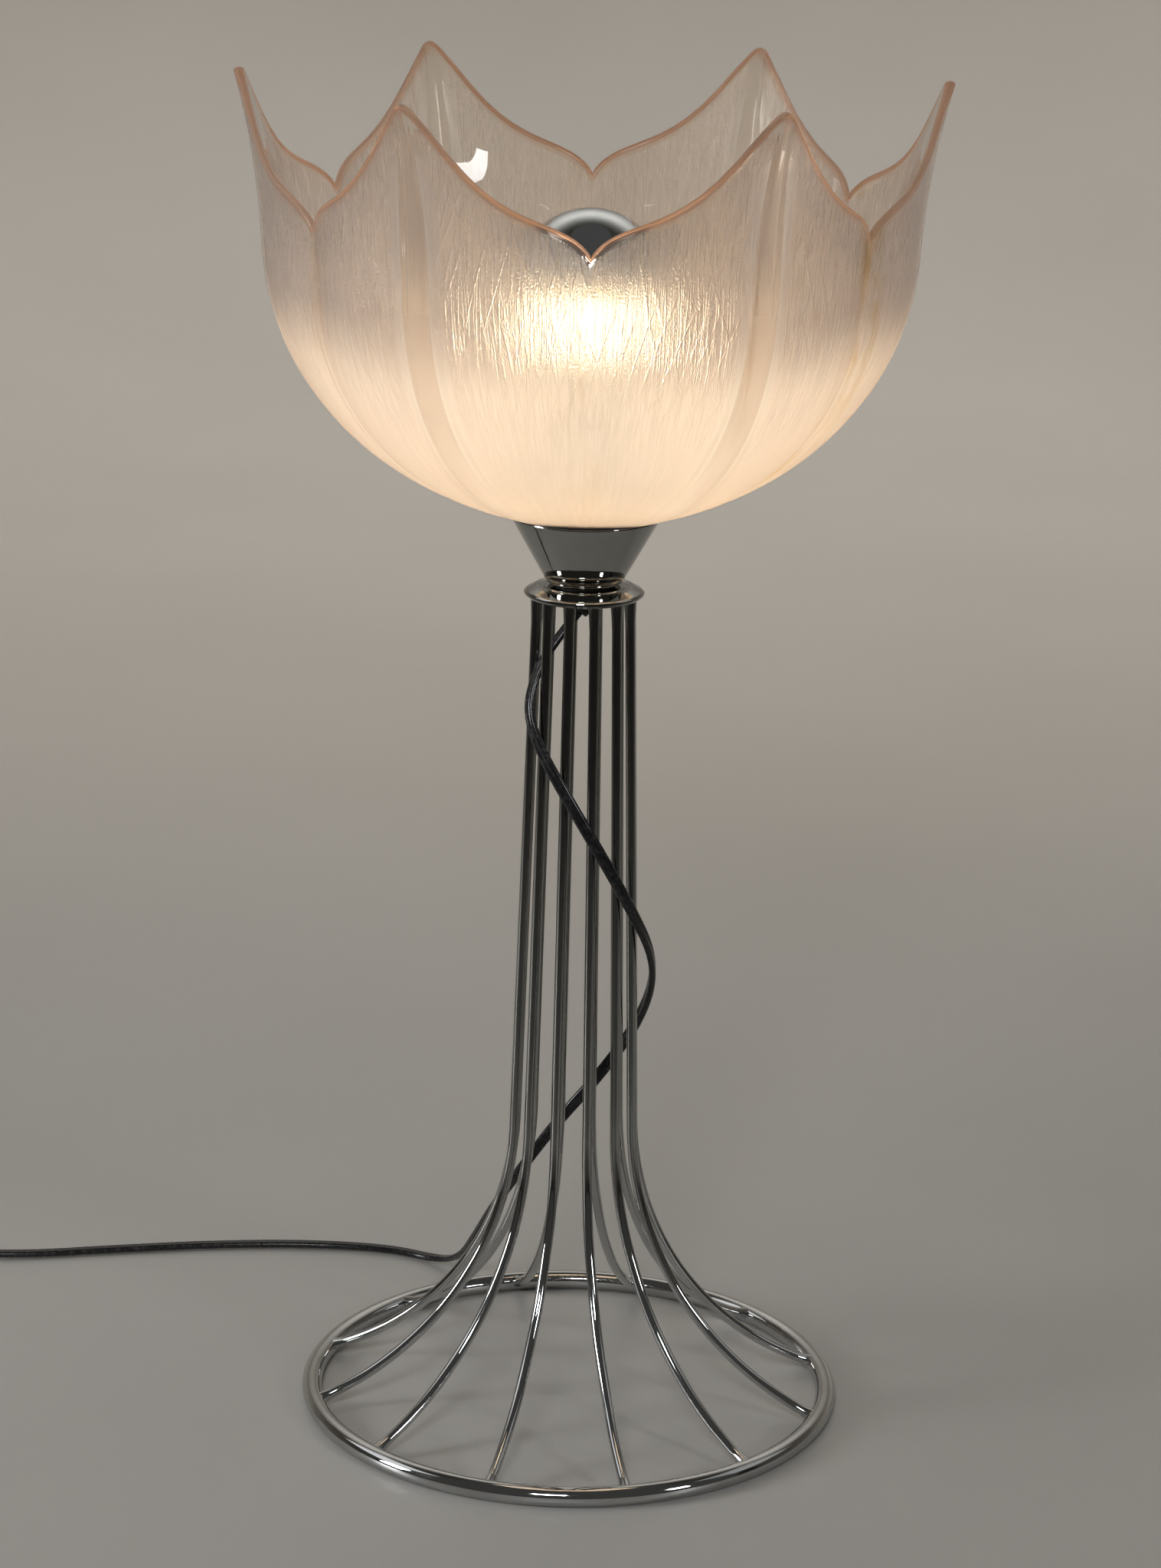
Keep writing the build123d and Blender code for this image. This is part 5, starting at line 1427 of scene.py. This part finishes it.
def studio():
    """A round floor turned about the lamp's axis, which sweeps up into a tall wall at the back.

    The wall's height is scaled by a smooth step of the angle, so the front stays flat and open.
    """
    angle = np.linspace(0, np.pi / 2, 24)
    curve = joined(STUDIO_RADIUS - STUDIO_SWEEP * (1 - np.sin(angle)), STUDIO_SWEEP * (1 - np.cos(angle)))
    outline = np.concatenate([FLOOR_ROWS, curve, [(STUDIO_RADIUS, STUDIO_HIGH)]])
    grid = turned(outline, STUDIO_COLUMNS)
    away = np.hypot(grid[..., 0], grid[..., 1]) + 1e-6
    grid[..., 2] *= smoothstep(grid[..., 1] / away, -0.35, 0.1)
    mesh = bare_mesh("floor", grid.reshape(-1, 3), quads(len(outline), STUDIO_COLUMNS, False))
    close_up(mesh, 60.0)
    mesh.materials.append(backdrop())
    placed("floor", mesh)


def panel_light(name, place, target, size, power, colour, mirrored, spread):
    """A soft rectangular lamp at a place, turned to face a target, in millimetres and watts."""
    data = bpy.data.lights.new(name, "AREA")
    data.shape = "RECTANGLE"
    data.size = size[0] * MM
    data.size_y = size[1] * MM
    data.energy = power
    data.color = colour
    data.spread = np.radians(spread)
    thing = placed(name, data)
    thing.location = Vector(place) * MM
    thing.rotation_euler = (Vector(target) - Vector(place)).to_track_quat("-Z", "Y").to_euler()
    thing.visible_glossy = mirrored


def bulb_light():
    """The light of the wire, as a small point in the bulb."""
    data = bpy.data.lights.new("bulb_light", "POINT")
    data.energy = BULB_WATTS
    data.color = BULB_COLOUR
    data.shadow_soft_size = BULB_SOFTNESS * MM
    placed("bulb_light", data).location = Vector((0, 0, BULB_CENTRE + LIGHT_RISE)) * MM


def world():
    """A plain dim room in front of the studio's wall."""
    place = bpy.data.worlds.new("room")
    place.use_nodes = True
    background = place.node_tree.nodes["Background"]
    background.inputs["Color"].default_value = ROOM_COLOUR
    background.inputs["Strength"].default_value = 1.0
    bpy.context.scene.world = place


def camera():
    """The photograph's camera: looking down the pitch, with a slight roll."""
    pitch = np.radians(CAMERA_PITCH)
    yaw = np.radians(CAMERA_YAW)
    roll = np.radians(CAMERA_ROLL)
    look = Vector((np.sin(yaw) * np.cos(pitch), np.cos(yaw) * np.cos(pitch), -np.sin(pitch)))
    right = Vector((np.cos(yaw), -np.sin(yaw), 0))
    up = right.cross(look)
    right, up = right * np.cos(roll) + up * np.sin(roll), up * np.cos(roll) - right * np.sin(roll)
    data = bpy.data.cameras.new("camera")
    data.sensor_fit = "VERTICAL"
    data.sensor_height = SENSOR
    data.lens = LENS
    data.clip_end = CAMERA_REACH * MM
    thing = placed("camera", data)
    turn = Matrix((right, up, -look)).transposed().to_4x4()
    thing.matrix_world = Matrix.Translation(Vector(CAMERA_PLACE) * MM) @ turn
    bpy.context.scene.camera = thing


def lamp():
    """Every piece of the lamp, from the ring foot up, and then its flex."""
    look = {name: metal(name, *values) for name, values in METALS.items()}
    look.update({name: moulded(name, *values) for name, values in MOULDINGS.items()})
    chrome = chrome_plate()
    clear = bulb_glass()
    rubber = look["black_rubber"]
    plastic = look["black_plastic"]
    steel = look["zinc_steel"]

    ring_foot(chrome)
    column_wires(chrome)
    collar(chrome)
    cup(chrome)
    flat_ring("fibre_washer", "cup_washer", STEM_HOLE, CUP_WASHER_RADIUS, DISC_HIGH, CUP_LOW, rubber)
    hexagon("nut_under", "lower_nut", DISC_LOW - NUT_THICKNESS, steel)
    hexagon("nut_over", "upper_nut", CUP_LOW + CUP_WALL, steel)
    hollow_stem(steel)
    grommet(rubber)
    holder_base(look["black_bakelite"])
    holder_sleeve(look["black_bakelite"])
    holder_core(look["porcelain"], look["brass"])
    flat_ring("glass_seat", "shade_gasket", *GASKET_RADII, CUP_HIGH, GLASS_LOW, rubber)
    glass_bowl()
    flat_ring("glass_washer", "shade_washer", HOLE_RADIUS, GLASS_WASHER_RADIUS, GLASS_FLOOR,
              GLASS_FLOOR + WASHER_THICKNESS, rubber)
    ring_nut(look["black_bakelite"])
    bulb_envelope(clear, look["crown_mirror"])
    bulb_cap(look["cap_metal"], look["black_glass"])
    bulb_mount(clear)
    filament(glowing_wire())

    switch_body(plastic)
    switch_metal(steel)
    rocker(plastic)
    plug(plastic, look["pin_metal"])
    vinyl = black_flex()
    flex("flex_lead", LEAD_ROUTE, lead_facing,
         ["cord_lead"], vinyl)
    flex("flex_tail", LINK_ROUTE + coil_route() + TAIL_ROUTE, tail_facing,
         ["cord_link", "cord_coil", "cord_tail"], vinyl)


studio()
for panel in PANELS:
    panel_light(*panel)
bulb_light()
world()
camera()
lamp()
bpy.context.scene.view_settings.view_transform = "Standard"
